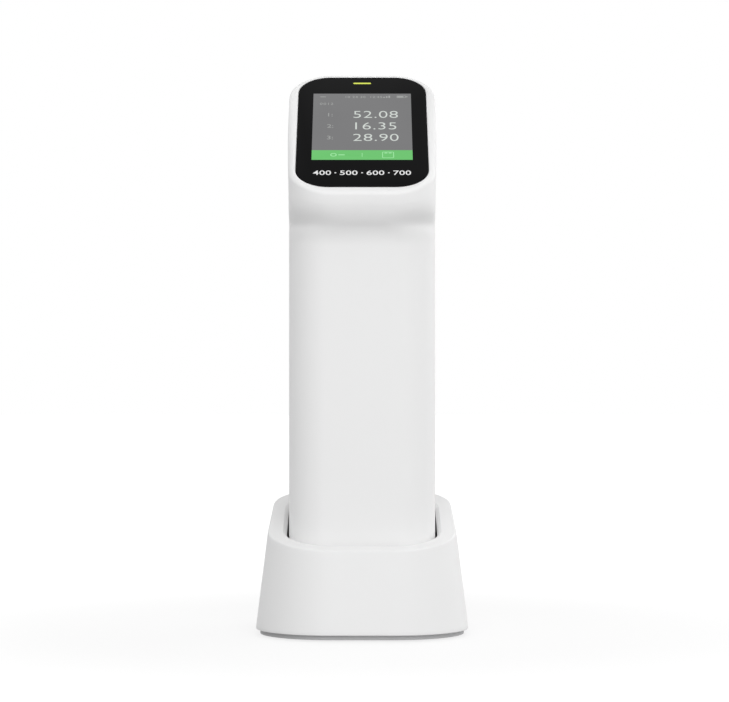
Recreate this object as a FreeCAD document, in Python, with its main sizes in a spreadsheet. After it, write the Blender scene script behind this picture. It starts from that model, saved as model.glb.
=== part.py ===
import FreeCAD, Part

import math
import os

import Sketcher
from FreeCAD import Placement, Rotation, Vector

# A handheld spectrophotometer standing in its calibration and charging dock.
# Frame: millimetres, +Z up, the display faces -Y, origin on the bench under the middle of the dock.

# Driving sizes: alias, value in millimetres (or degrees), what it measures.
SIZES = [
    # Dock
    ("dock_flare_x", 9.15, "how far the dock's sides stand out from the socket, at bench level"),
    ("dock_flare_y", 9.25, "how far its front and rear do, at bench level"),
    ("dock_front_radius", 25.4, "plan radius of the dock's front corners, at bench level"),
    ("dock_rear_radius", 20.8, "plan radius of the dock's rear corners, at bench level"),
    ("dock_taper", 7.07, "lean of the dock's outer wall, degrees"),
    ("shell_lift", 2.1, "height of the shell's lower edge over the bench"),
    ("rim_height", 38.3, "height of the rim plane over the origin"),
    ("rim_slant", 14.0, "slope of the rim, higher at the rear, degrees"),
    ("rim_thickness", 2.2, "thickness of the rim"),
    ("mouth_lip", 1.3, "how far the rim's sloped lip reaches into the socket"),
    ("dock_wall", 2.0, "wall of the dock's outer shell"),
    ("foot_inset", 1.5, "how far the base plate stands back from the shell"),
    ("foot_gap", 0.6, "height of the base plate over the bench"),
    ("base_top", 3.6, "height of the base plate's inner face"),
    ("base_step_inset", 2.5, "how far the base plate's upper step stands back"),
    ("socket_half_width", 26.6, "half of the socket's width"),
    ("socket_half_depth", 28.4, "half of the socket's depth"),
    ("socket_radius", 16.5, "plan radius of the socket's corners"),
    ("liner_wall", 1.6, "wall of the socket liner"),
    ("liner_floor", 11.6, "height of the socket's floor"),
    ("liner_floor_thickness", 2.0, "thickness of the socket's floor"),
    ("rest_rib_width", 3.5, "width of each rib that the instrument stands on"),
    ("rest_rib_half_length", 6.0, "half length of each such rib"),
    ("foot_radius", 6.0, "radius of a rubber foot"),
    ("foot_recess", 0.8, "how deep a foot sits in the base plate"),
    ("dock_screw_x", 18.5, "distance of the dock's screws from the middle plane"),
    ("dock_screw_y", 21.5, "distance of the dock's screws from the socket's middle, in depth"),
    ("dock_screw_radius", 1.25, "shank radius of the dock's screws"),
    ("dock_screw_head_radius", 2.6, "head radius of the dock's screws"),
    ("dock_screw_head", 1.5, "head height of the dock's screws"),
    ("boss_wall", 1.75, "wall of a screw boss"),
    ("ballast_height", 3.0, "thickness of the steel ballast plate"),
    ("ballast_inset", 7.0, "how far the ballast stands inside the dock's outline"),
    ("ballast_rear", 11.0, "where the ballast ends towards the rear"),
    # Tile
    ("tile_radius", 15.0, "radius of the white calibration tile"),
    ("tile_thickness", 4.0, "thickness of the tile"),
    ("carrier_wall", 2.0, "wall of the tile carrier"),
    ("carrier_floor", 2.0, "floor of the tile carrier"),
    ("carrier_flange", 1.8, "how far the carrier's stop flange stands out"),
    ("carrier_flange_height", 1.4, "height of that flange"),
    ("foam_wall", 5.0, "radial width of the foam ring under the carrier"),
    ("run_gap", 0.3, "clearance round a piece that slides"),
    # Charging contacts
    ("pin_spacing", 10.0, "distance between the two contact pins"),
    ("pin_rear", 21.6, "distance of the pins behind the socket's middle"),
    ("pin_radius", 1.0, "radius of a contact pin"),
    ("pin_collar", 0.5, "how far the pin's collar stands out"),
    ("pin_collar_height", 0.8, "height of that collar"),
    ("pin_spring_height", 3.2, "height of a contact pin's spring"),
    ("pin_spring_wire", 0.35, "wall of the spring's coil"),
    ("pin_block_half_width", 9.0, "half width of the pin block"),
    ("pin_block_half_depth", 2.4, "half depth of the pin block"),
    ("dock_board_half_width", 12.0, "half width of the dock's circuit board"),
    ("dock_board_thickness", 1.0, "thickness of that board"),
    ("dock_board_front", 15.0, "front edge of that board"),
    ("inlet_half_width", 4.5, "half width of a power socket"),
    ("inlet_height", 3.2, "height of a power socket"),
    ("inlet_length", 7.2, "depth of a power socket"),
    ("inlet_wall", 0.35, "wall of a power socket"),
    ("inlet_gap", 0.3, "clearance round a power socket in its cut-out"),
    # Instrument
    ("centre_y", -1.0, "middle of the socket and of the column, in depth"),
    ("seat_height", 14.0, "height of the instrument's base face in the dock"),
    ("column_half_width", 24.5, "half of the column's width"),
    ("column_half_depth", 26.4, "half of the column's depth"),
    ("column_radius", 12.4, "plan radius of the column's corners"),
    ("wall", 2.0, "wall of the housing"),
    ("head_half_width", 25.3, "half of the head's width"),
    ("head_radius", 14.2, "plan radius of the head's corners"),
    ("chin_reach", 8.6, "how far the head overhangs the column at the front"),
    ("nape_reach", 5.6, "how far the head overhangs the column at the rear"),
    ("chin_height", 147.0, "height where the head starts to round under"),
    ("chin_radius", 12.0, "radius of the chin's outer round"),
    ("crease_radius", 8.0, "radius of the hollow under the chin"),
    ("nape_low", 138.0, "height where the rear starts to lean out"),
    ("nape_high", 172.0, "height where the rear stands upright again"),
    ("panel_height", 172.2, "height of the display plane over the origin"),
    ("panel_tilt", 34.7, "slope of the display plane, degrees"),
    ("head_edge", 1.4, "round of the edge round the display plane"),
    ("split_y", 4.0, "where the side seam runs up the column"),
    ("split_drop", 11.0, "how far under the display plane the seam turns to the rear"),
    ("cap_thickness", 3.0, "thickness of the bottom cap"),
    ("cap_lip", 2.0, "height of the cap's lip inside the housing"),
    ("cap_lip_wall", 1.2, "wall of that lip"),
    ("fit_gap", 0.1, "clearance between a cover and its seat"),
    # Display
    ("glass_half_width", 22.1, "half width of the cover glass"),
    ("glass_low", 40.1, "reach of the glass down the slope"),
    ("glass_high", 34.1, "reach of the glass up the slope"),
    ("glass_radius", 11.0, "corner radius of the glass"),
    ("glass_thickness", 1.5, "thickness of the glass"),
    ("gasket_thickness", 0.4, "thickness of the glass's adhesive gasket"),
    ("ledge_width", 2.0, "width of the ledge that carries the glass"),
    ("ledge_thickness", 2.0, "thickness of that ledge"),
    ("lcd_half_width", 18.8, "half width of the display module"),
    ("lcd_half_length", 25.4, "half length of the display module"),
    ("lcd_gap", 0.2, "air gap between glass and display module"),
    ("lcd_frame_wall", 0.7, "wall of the display's frame"),
    ("display_board_half_width", 22.0, "half width of the display board"),
    ("display_board_low", 34.0, "reach of the display board down the slope"),
    ("display_board_high", 30.8, "reach of the display board up the slope"),
    ("board_thickness", 1.6, "thickness of a circuit board"),
    ("light_bar_half_width", 3.15, "half width of the status light"),
    ("light_bar_place", 29.76, "middle of the status light, up the slope"),
    ("light_bar_half_length", 0.65, "half of the status light's other side"),
    ("led_half", 0.8, "half side of an indicator diode"),
    ("led_height", 0.7, "height of an indicator diode"),
    ("screw_radius", 0.8, "shank radius of a small screw"),
    ("screw_head_radius", 1.3, "head radius of a small screw"),
    ("screw_head", 1.0, "head height of a small screw"),
    # Optics
    ("mask_radius", 16.0, "radius of the target mask"),
    ("mask_face_drop", 0.5, "how far the mask stands out of the base face"),
    ("mask_tab", 1.5, "how far a bayonet tab stands out"),
    ("mask_tab_height", 1.0, "height of a bayonet tab"),
    ("mask_tab_half_width", 3.0, "half width of a bayonet tab"),
    ("mask_clearance", 0.08, "radial running clearance of the mask"),
    ("mask_twist", 25.0, "turn that frees the mask, degrees"),
    ("aperture_radius", 4.0, "radius of the measuring aperture"),
    ("aperture_land", 0.6, "straight part of the aperture"),
    ("aperture_flare", 8.0, "radius of the aperture's inner end"),
    ("mask_seal_thickness", 0.4, "thickness of the seal under the sphere"),
    ("sphere_radius", 16.0, "inner radius of the integrating sphere"),
    ("sphere_block_radius", 19.0, "outer radius of the sphere's halves"),
    ("sphere_base", 19.0, "height of the sphere block's lower face"),
    ("sphere_wall", 2.0, "wall over the sphere's poles"),
    ("sample_port_radius", 7.0, "radius of the sphere's lower port"),
    ("view_angle", 8.0, "angle of the viewing axis, degrees"),
    ("view_port_radius", 3.2, "radius of the viewing port"),
    ("tube_radius", 5.0, "outer radius of the lens tube"),
    ("tube_wall", 1.2, "wall of the lens tube"),
    ("tube_sink", 1.0, "how deep the lens tube sits in the sphere"),
    ("lens_thickness", 2.4, "thickness of the viewing lens"),
    ("trap_radius", 4.6, "outer radius of the gloss trap"),
    ("trap_height", 5.0, "height of the gloss trap"),
    ("trap_wall", 0.9, "wall of the gloss trap"),
    ("lamp_radius", 2.8, "radius of the lamp diode"),
    ("lamp_length", 2.6, "length of the lamp diode"),
    ("lamp_board_half_width", 8.0, "half width of the lamp board"),
    ("lamp_board_half_height", 8.0, "half height of the lamp board"),
    # Frame and spectrometer
    ("frame_half_width", 20.4, "half width of the inner frame"),
    ("frame_wall", 1.8, "wall of the inner frame"),
    ("frame_half_depth", 17.0, "half depth of the inner frame's sides"),
    ("frame_top", 152.0, "height of the inner frame's top"),
    ("deck_thickness", 2.0, "thickness of a frame deck"),
    ("deck_half_depth", 20.5, "half depth of the frame decks"),
    ("deck_radius", 9.0, "corner radius of the frame decks"),
    ("battery_gap", 2.0, "gap between the spectrometer and the battery deck"),
    ("post_x", 17.2, "distance of the base screws from the middle plane"),
    ("post_y", 18.0, "distance of the base screws from the column's middle, in depth"),
    ("post_radius", 2.6, "radius of a frame post"),
    ("base_screw_radius", 1.1, "shank radius of the base screws"),
    ("base_screw_head_radius", 2.1, "head radius of the base screws"),
    ("base_screw_sink", 0.6, "how deep the base screws' heads lie in the cap"),
    ("base_screw_length", 12.0, "length of the base screws under the head"),
    ("spectro_base", 65.0, "height of the spectrometer block's lower face"),
    ("spectro_half_width", 18.5, "half width of the spectrometer block"),
    ("spectro_height", 30.0, "height of the spectrometer block"),
    ("spectro_front", 18.0, "reach of the spectrometer block to the front"),
    ("spectro_rear", 15.0, "reach of the spectrometer block to the rear"),
    ("spectro_wall", 2.2, "wall of the spectrometer block"),
    ("spectro_cover", 1.6, "thickness of the spectrometer's cover"),
    ("slit_radius", 3.5, "radius of the slit plate"),
    ("slit_thickness", 0.8, "thickness of the slit plate"),
    ("slit_half_width", 0.15, "half width of the slit"),
    ("slit_half_length", 1.5, "half length of the slit"),
    ("grating_radius", 7.0, "radius of the concave grating"),
    ("grating_thickness", 4.5, "edge thickness of the grating"),
    ("grating_curve", 42.0, "radius of the grating's hollow face"),
    ("sensor_board_half_width", 13.0, "half width of the sensor board"),
    ("sensor_board_half_depth", 6.0, "half depth of the sensor board"),
    ("sensor_half_width", 10.0, "half width of the line sensor"),
    ("sensor_half_depth", 2.2, "half depth of the line sensor"),
    ("sensor_height", 2.0, "height of the line sensor"),
    ("sensor_place", 9.0, "distance of the sensor before the column's middle"),
    # Electronics and controls
    ("main_board_low", 60.0, "height of the main board's lower edge"),
    ("battery_half_width", 17.0, "half width of the battery pack"),
    ("battery_depth", 14.0, "depth of the battery pack"),
    ("battery_height", 46.0, "height of the battery pack"),
    ("battery_radius", 3.5, "corner radius of the battery pack"),
    ("battery_front", 21.8, "distance of the battery's front face before the column's middle"),
    ("button_half_width", 7.0, "half width of the measuring button"),
    ("button_half_height", 11.0, "half height of the measuring button"),
    ("button_radius", 6.9, "corner radius of the measuring button"),
    ("button_height", 123.0, "height of the measuring button's middle"),
    ("button_proud", 1.1, "how far the measuring button stands out"),
    ("button_flange", 1.3, "how far a button's flange stands out"),
    ("button_flange_thickness", 1.1, "thickness of a button's flange"),
    ("button_gap", 0.3, "clearance round a button"),
    ("power_radius", 4.2, "radius of the power button"),
    ("power_drop", 26.0, "distance of the power button below the measuring button"),
    ("power_proud", 0.5, "how far the power button stands out"),
    ("switch_half", 3.0, "half side of a push switch"),
    ("switch_height", 3.4, "height of a push switch"),
    ("port_height", 72.0, "height of the instrument's data socket"),
    ("buzzer_radius", 4.5, "radius of the buzzer"),
    ("buzzer_depth", 2.4, "depth of the buzzer"),
    ("buzzer_drop", 15.0, "distance of the buzzer below the measuring button"),
    ("flex_half_width", 6.0, "half width of the display's flat cable"),
    ("flex_thickness", 0.3, "thickness of that cable"),
    ("flex_low", 142.0, "height of that cable's lower end"),
    ("connector_depth", 2.0, "depth of the display board's connector"),
    ("small_screw_length", 4.0, "length of a small screw under its head"),
    ("battery_foam_half_width", 10.0, "half width of the battery's foam pad"),
    ("leg_radius", 2.4, "radius of the legs under the spectrometer"),
    ("leg_x", 15.0, "distance of those legs from the middle plane"),
    ("pad_radius", 2.2, "radius of a charging pad"),
    ("pad_thickness", 1.0, "thickness of a charging pad"),
]

doc = FreeCAD.newDocument("spectrophotometer")
sheet = doc.addObject("Spreadsheet::Sheet", "Sizes")
for row, (alias, value, meaning) in enumerate(SIZES, start=1):
    sheet.set("A%d" % row, alias)
    sheet.set("B%d" % row, "%g" % value)
    sheet.set("C%d" % row, meaning)
    sheet.setAlias("B%d" % row, alias)
doc.recompute()


class Size:
    """A length that knows both its number and the sheet expression that gives it."""

    def __init__(self, text, value):
        self.text = text
        self.value = value

    def join(self, sign, other, value):
        return Size("(%s %s %s)" % (self.text, sign, text_of(other)), value)

    def __add__(self, other):
        return self.join("+", other, self.value + value_of(other))

    def __radd__(self, other):
        return self + other

    def __sub__(self, other):
        return self.join("-", other, self.value - value_of(other))

    def __rsub__(self, other):
        return as_size(other) - self

    def __mul__(self, other):
        return self.join("*", other, self.value * value_of(other))

    def __rmul__(self, other):
        return self * other

    def __truediv__(self, other):
        return self.join("/", other, self.value / value_of(other))

    def __neg__(self):
        return Size("(0 - %s)" % self.text, -self.value)


def value_of(number):
    return number.value if isinstance(number, Size) else float(number)


def text_of(number):
    return number.text if isinstance(number, Size) else "%.10g" % number


def as_size(number):
    return number if isinstance(number, Size) else Size(text_of(number), float(number))


def sine(angle):
    return Size("sin(%s)" % angle.text, math.sin(math.radians(angle.value)))


def cosine(angle):
    return Size("cos(%s)" % angle.text, math.cos(math.radians(angle.value)))


def tangent(angle):
    return Size("tan(%s)" % angle.text, math.tan(math.radians(angle.value)))


class Sizes:
    """Every cell of the sheet, by its alias."""


S = Sizes()
for alias, value, meaning in SIZES:
    setattr(S, alias, Size("Sizes.%s" % alias, float(sheet.get(alias))))

ORIGIN = Vector(0, 0, 0)
UP = Vector(0, 0, 1)
AXES = {"x": Rotation(Vector(0, 1, 0), 90), "y": Rotation(Vector(1, 0, 0), -90), "z": Rotation()}


def bind(item, path, size):
    """Tie one property of a document object to the sheet."""
    item.setExpression(path, as_size(size).text)


def place(item, x=0, y=0, z=0):
    """Put an object at a point whose coordinates are sizes."""
    for name, size in (("x", x), ("y", y), ("z", z)):
        bind(item, "Placement.Base.%s" % name, size)


def block(name, x, y, z):
    """A box between two planes in each direction."""
    item = doc.addObject("Part::Box", name)
    bind(item, "Length", x[1] - x[0])
    bind(item, "Width", y[1] - y[0])
    bind(item, "Height", z[1] - z[0])
    place(item, x[0], y[0], z[0])
    return item


def rod(name, radius, length, x=0, y=0, z=0, along="z"):
    """A cylinder that starts at a point and runs along one axis."""
    item = doc.addObject("Part::Cylinder", name)
    bind(item, "Radius", radius)
    bind(item, "Height", length)
    item.Placement = Placement(ORIGIN, AXES[along])
    place(item, x, y, z)
    return item


def cone(name, low_radius, high_radius, height, x, y, z):
    """An upright cone that starts at a point."""
    item = doc.addObject("Part::Cone", name)
    bind(item, "Radius1", low_radius)
    bind(item, "Radius2", high_radius)
    bind(item, "Height", height)
    place(item, x, y, z)
    return item


def ball(name, radius, x, y, z):
    """A full sphere about a point."""
    item = doc.addObject("Part::Sphere", name)
    bind(item, "Radius", radius)
    place(item, x, y, z)
    return item


def join(name, *items):
    """One object out of several."""
    item = doc.addObject("Part::MultiFuse", name)
    item.Shapes = list(items)
    item.Refine = True
    return item


def group(name, *items):
    """Several separate solids kept in one object."""
    item = doc.addObject("Part::Compound", name)
    item.Links = list(items)
    return item


def cut(name, base, *tools):
    """The base with every tool taken away."""
    item = doc.addObject("Part::Cut", name)
    item.Base = base
    item.Tool = tools[0] if len(tools) == 1 else join(name + "_tools", *tools)
    item.Refine = True
    return item


def common(name, first, second):
    """What two objects share."""
    item = doc.addObject("Part::Common", name)
    item.Base = first
    item.Tool = second
    return item


class Outline:
    """A rounded rectangle in plan: half width, low and high edge, front and rear corner radius."""

    def __init__(self, half_width, low, high, front_radius, rear_radius=None):
        self.half_width = as_size(half_width)
        self.low = as_size(low)
        self.high = as_size(high)
        self.front_radius = as_size(front_radius)
        self.rear_radius = as_size(front_radius if rear_radius is None else rear_radius)

    def inset(self, wall):
        """The outline drawn in by a wall on every side."""
        return Outline(self.half_width - wall, self.low + wall, self.high - wall,
                       self.front_radius - wall, self.rear_radius - wall)


def draw(body, name, outline, level):
    """A sketch of an outline at a level over the body's base plane, with every size tied to the sheet."""
    sketch = body.newObject("Sketcher::SketchObject", name)
    plane = [item for item in body.Origin.OriginFeatures if item.Role == "XY_Plane"][0]
    sketch.AttachmentSupport = (plane, [""])
    sketch.MapMode = "FlatFace"
    bind(sketch, "AttachmentOffset.Base.z", level)
    w, low, high = outline.half_width.value, outline.low.value, outline.high.value
    front, rear = outline.front_radius.value, outline.rear_radius.value
    corners = [(w - front, low + front, front, -90), (w - rear, high - rear, rear, 0),
               (rear - w, high - rear, rear, 90), (front - w, low + front, front, 180)]
    lines = [((front - w, low), (w - front, low)), ((w, low + front), (w, high - rear)),
             ((w - rear, high), (rear - w, high)), ((-w, high - rear), (-w, low + front))]
    for (start, end), (x, y, radius, angle) in zip(lines, corners):
        sketch.addGeometry(Part.LineSegment(Vector(*start, 0), Vector(*end, 0)))
        circle = Part.Circle(Vector(x, y, 0), UP, radius)
        sketch.addGeometry(Part.ArcOfCircle(circle, math.radians(angle), math.radians(angle + 90)))
    pin = sketch.addConstraint
    for index in range(8):
        pin(Sketcher.Constraint("Tangent", index, 2, (index + 1) % 8, 1))
    for index in (0, 4):
        pin(Sketcher.Constraint("Horizontal", index))
    for index in (2, 6):
        pin(Sketcher.Constraint("Vertical", index))
    tie(sketch, outline.half_width, "DistanceX", (-1, 1, 2, 1))
    tie(sketch, outline.half_width, "DistanceX", (6, 1, -1, 1))
    for edge, size in ((0, outline.low), (4, outline.high)):
        ends = (-1, 1, edge, 1) if size.value >= 0 else (edge, 1, -1, 1)
        tie(sketch, size if size.value >= 0 else -size, "DistanceY", ends)
    for arc, size in ((1, outline.front_radius), (3, outline.rear_radius),
                      (5, outline.rear_radius), (7, outline.front_radius)):
        tie(sketch, size, "Radius", (arc,))
    return sketch


def tie(sketch, size, kind, places):
    """One dimension of a sketch, bound to the sheet."""
    index = sketch.addConstraint(Sketcher.Constraint(kind, *places, size.value))
    sketch.setExpression("Constraints[%d]" % index, size.text)


def prism(name, outline, low, high, taper=None):
    """An outline raised from one level to another; a taper leans its walls inwards."""
    body = doc.addObject("PartDesign::Body", name)
    sketch = draw(body, name + "_outline", outline, low)
    pad = body.newObject("PartDesign::Pad", name + "_pad")
    pad.Profile = sketch
    bind(pad, "Length", high - low)
    if taper is not None:
        bind(pad, "TaperAngle", -taper)
    sketch.Visibility = False
    return body


def loft(name, levels):
    """A body skinned through outlines at rising levels."""
    body = doc.addObject("PartDesign::Body", name)
    sketches = [draw(body, "%s_outline_%02d" % (name, i), outline, level)
                for i, (outline, level) in enumerate(levels)]
    skin = body.newObject("PartDesign::AdditiveLoft", name + "_skin")
    skin.Profile = sketches[0]
    skin.Sections = sketches[1:]
    skin.Ruled = True
    return body


def tilt(item, along=0, out=0, x=0):
    """Lay an object on the display plane: along is up the slope, out is away from the plane."""
    item.Placement = Placement(ORIGIN, Rotation(Vector(1, 0, 0), S.panel_tilt.value))
    bind(item, "Placement.Rotation.Angle", S.panel_tilt)
    place(item, x, along * COS - out * SIN, S.panel_height + along * SIN + out * COS)
    return item


def panel_prism(name, outline, low, high):
    """A prism square to the display plane."""
    return tilt(prism(name, outline, low, high))


def panel_block(name, x, along, out):
    """A box square to the display plane."""
    item = block(name, x, along, out)
    return tilt(item, along[0], out[0], x[0])


def half_space(name, height, angle, reach=150.0):
    """Everything above a plane that slopes up to the rear and crosses the Z axis at a height."""
    item = doc.addObject("Part::Box", name)
    item.Length = item.Width = item.Height = 2 * reach
    item.Placement = Placement(ORIGIN, Rotation(Vector(1, 0, 0), angle.value))
    bind(item, "Placement.Rotation.Angle", angle)
    place(item, -reach, -reach * cosine(angle), height - reach * sine(angle))
    return item


SIN = sine(S.panel_tilt)
COS = cosine(S.panel_tilt)

# Levels and places that several pieces share.
CY = S.centre_y
HALF_WIDTH = S.socket_half_width + S.dock_flare_x
HALF_DEPTH = S.socket_half_depth + S.dock_flare_y
POWER_HEIGHT = S.button_height - S.power_drop
BUZZER_HEIGHT = S.button_height - S.buzzer_drop
BASE = S.seat_height
CAP_TOP = BASE + S.cap_thickness
MASK_FACE = BASE - S.mask_face_drop
SPHERE_TOP = S.sphere_base + (S.sphere_radius + S.sphere_wall) * 2
SPHERE_MIDDLE = S.sphere_base + S.sphere_wall + S.sphere_radius
OPTIC_DECK = SPHERE_TOP
SPECTRO_TOP = S.spectro_base + S.spectro_height
BATTERY_DECK = SPECTRO_TOP + S.battery_gap
COLUMN_REAR = CY + S.column_half_depth
COLUMN_FRONT = CY - S.column_half_depth
HEAD_FRONT = COLUMN_FRONT - S.chin_reach
HEAD_REAR = COLUMN_REAR + S.nape_reach
BOARD_FRONT = CY + S.frame_half_depth
BOARD_REAR = BOARD_FRONT + S.board_thickness
BOARD_SEAT = -S.glass_thickness - S.gasket_thickness - S.ledge_thickness
DOCK_BOARD_TOP = S.base_top + S.dock_board_thickness
LINER_UNDER = S.liner_floor - S.liner_floor_thickness

DOCK_OUTLINE = Outline(HALF_WIDTH, -HALF_DEPTH, HALF_DEPTH,
                       S.dock_front_radius, S.dock_rear_radius)
SOCKET_OUTLINE = Outline(S.socket_half_width, CY - S.socket_half_depth, CY + S.socket_half_depth,
                         S.socket_radius)
GLASS_OUTLINE = Outline(S.glass_half_width, -S.glass_low, S.glass_high, S.glass_radius)

# The whole dock reaches no higher than this, and cutting tools run past it.
DOCK_TOP = S.rim_height + HALF_DEPTH * tangent(S.rim_slant)


def four_corners(x, y, middle):
    """Four places, one in each corner round a middle line."""
    return [(side * x, middle + end * y) for side in (-1, 1) for end in (-1, 1)]


def edges_on(shape, height, slant, within=None):
    """Numbers of the edges that lie in a slanted plane, or only of those within an outline's box."""
    normal = Vector(0, -sine(slant).value, cosine(slant).value)
    on_plane = Vector(0, 0, height.value)
    near = 1e-4
    found = []
    for number, edge in enumerate(shape.Edges, start=1):
        points = [edge.valueAt(edge.FirstParameter), edge.valueAt(edge.LastParameter)]
        if any(abs((point - on_plane).dot(normal)) > near for point in points):
            continue
        if within and any(abs(point.x) > within.half_width.value + near
                          or not within.low.value - near < point.y < within.high.value + near
                          for point in points):
            continue
        found.append(number)
    return found


# Dock

def dock_shell():
    """Outer wall of the dock: a tapered skin that turns in to a flat, slanted rim with a sloped lip."""
    outer = prism("dock_form", DOCK_OUTLINE, S.shell_lift, DOCK_TOP, S.dock_taper)
    inner = prism("dock_cavity", DOCK_OUTLINE.inset(S.dock_wall), S.shell_lift - S.dock_wall,
                  DOCK_TOP, S.dock_taper)
    over_rim = half_space("over_rim", S.rim_height, S.rim_slant)
    under_rim = half_space("rim_solid", S.rim_height - S.rim_thickness, S.rim_slant)
    hollow = cut("dock_hollow", inner, under_rim)
    mouth = SOCKET_OUTLINE.inset(S.mouth_lip)
    socket = prism("socket_mouth", mouth, S.shell_lift, DOCK_TOP)
    rim = cut("dock_rim", outer, over_rim, hollow, socket)
    doc.recompute()
    sloped = doc.addObject("Part::Chamfer", "dock_lip")
    sloped.Base = rim
    lip = S.mouth_lip.value
    sloped.Edges = [(index, lip, lip) for index in edges_on(rim.Shape, S.rim_height, S.rim_slant, mouth)]
    side = S.inlet_half_width + S.inlet_gap
    notch = block("inlet_cut_out", (-side, side), (S.ballast_rear, HALF_DEPTH + S.dock_wall),
                  (DOCK_BOARD_TOP - S.inlet_gap, DOCK_BOARD_TOP + S.inlet_height + S.inlet_gap))
    return cut("dock_shell", sloped, notch)


def socket_liner():
    """Cup that the instrument stands in, hung under the rim and screwed to the base."""
    outer_outline = SOCKET_OUTLINE.inset(-S.liner_wall)
    outer = prism("liner_form", outer_outline, LINER_UNDER, DOCK_TOP)
    under_rim = half_space("liner_top", S.rim_height - S.rim_thickness, S.rim_slant)
    well = prism("liner_well", SOCKET_OUTLINE, S.liner_floor, DOCK_TOP)
    cup = cut("liner_cup", outer, under_rim, well)
    ribs = []
    for side in (-1, 1):
        edge = S.socket_half_width * side
        near = edge - S.rest_rib_width * side
        ends = (near, edge) if side > 0 else (edge, near)
        ribs.append(block("rest_rib_%s" % ("right" if side > 0 else "left"), ends,
                          (CY - S.rest_rib_half_length, CY + S.rest_rib_half_length),
                          (S.liner_floor - S.liner_floor_thickness / 2, BASE)))
    bosses = [rod("liner_boss", S.dock_screw_radius + S.boss_wall, LINER_UNDER - S.base_top,
                  x, y, S.base_top) for x, y in four_corners(S.dock_screw_x, S.dock_screw_y, CY)]
    threads = [rod("liner_thread", S.dock_screw_radius, LINER_UNDER - S.base_top, x, y, S.base_top)
               for x, y in four_corners(S.dock_screw_x, S.dock_screw_y, CY)]
    hole = rod("tile_hole", S.tile_radius + S.carrier_wall + S.run_gap, S.liner_floor_thickness * 2,
               0, CY, LINER_UNDER - S.liner_floor_thickness / 2)
    pins = [rod("liner_pin_hole", S.pin_radius + S.run_gap, S.liner_floor_thickness * 2, x, y,
                LINER_UNDER - S.liner_floor_thickness / 2) for x, y in pin_places()]
    return cut("socket_liner", join("liner_blank", cup, *ribs, *bosses), hole, *threads, *pins)


def pin_places():
    """The two charging contacts stand side by side behind the tile."""
    return [(side * S.pin_spacing / 2, CY + S.pin_rear) for side in (-1, 1)]


def dock_base():
    """Base plate with an upper step inside the shell, four foot recesses and four screw holes."""
    lower = prism("base_foot", DOCK_OUTLINE.inset(S.foot_inset), S.foot_gap, S.shell_lift)
    upper = prism("base_step", DOCK_OUTLINE.inset(S.base_step_inset), S.shell_lift, S.base_top)
    tools = []
    for x, y in four_corners(S.dock_screw_x, S.dock_screw_y, CY):
        tools.append(rod("foot_recess", S.foot_radius, S.foot_recess, x, y, S.foot_gap))
        tools.append(rod("head_recess", S.dock_screw_head_radius, S.dock_screw_head + S.foot_recess,
                         x, y, S.foot_gap))
        tools.append(rod("screw_hole", S.dock_screw_radius, S.base_top, x, y, S.foot_gap))
    return cut("dock_base", join("base_blank", lower, upper), *tools)


def dock_feet():
    """Four round rubber feet, each with a softly turned edge."""
    feet = []
    for index, (x, y) in enumerate(four_corners(S.dock_screw_x, S.dock_screw_y, CY)):
        height = S.foot_gap + S.foot_recess
        feet.append(rod("foot_%d" % index, S.foot_radius, height, x, y))
    return group("dock_feet", *feet)


def screws(name, places, head_low, shank_low, shank_high, shank, head, head_height, socket):
    """Upright screws with their heads at the bottom, each with a driver socket in its head."""
    out = []
    for index, (x, y) in enumerate(places):
        body = join("%s_blank_%d" % (name, index),
                    rod("%s_head" % name, head, head_height, x, y, head_low),
                    rod("%s_shank" % name, shank, shank_high - shank_low, x, y, shank_low))
        out.append(cut("%s_%d" % (name, index), body,
                       rod("%s_socket" % name, socket, head_height / 2, x, y, head_low)))
    return group(name, *out)


def dock_screws():
    """Four screws that pull the base plate up against the liner's bosses."""
    head = S.foot_gap + S.foot_recess
    return screws("dock_screws", four_corners(S.dock_screw_x, S.dock_screw_y, CY), head,
                  head + S.dock_screw_head, LINER_UNDER, S.dock_screw_radius,
                  S.dock_screw_head_radius, S.dock_screw_head, S.dock_screw_radius * 0.8)


def ballast():
    """Steel plate that keeps the light dock from tipping; it leaves room for the tile and the board."""
    plate = prism("ballast_form", Outline(HALF_WIDTH - S.ballast_inset,
                                          S.ballast_inset - HALF_DEPTH, S.ballast_rear,
                                          S.dock_front_radius - S.ballast_inset, S.foot_radius),
                  S.base_top, S.base_top + S.ballast_height)
    tools = [rod("ballast_hole", S.tile_radius + S.carrier_wall + S.carrier_flange + S.run_gap * 2,
                 S.ballast_height, 0, CY, S.base_top)]
    for x, y in four_corners(S.dock_screw_x, S.dock_screw_y, CY):
        tools.append(rod("ballast_boss_hole", S.dock_screw_radius + S.boss_wall + S.run_gap,
                         S.ballast_height, x, y, S.base_top))
    return cut("ballast_plate", plate, *tools)


def dock_board():
    """Circuit board that joins the power inlet to the contact pins."""
    return block("dock_board", (-S.dock_board_half_width, S.dock_board_half_width),
                 (S.dock_board_front, inlet_front() + S.inlet_length - S.board_thickness),
                 (S.base_top, DOCK_BOARD_TOP))


def inlet_front():
    """The inlet's inner end, so that its mouth comes just short of the dock's rear face."""
    lean = (DOCK_BOARD_TOP + S.inlet_height) * tangent(S.dock_taper)
    return HALF_DEPTH - lean - S.fit_gap - S.inlet_length


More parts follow.
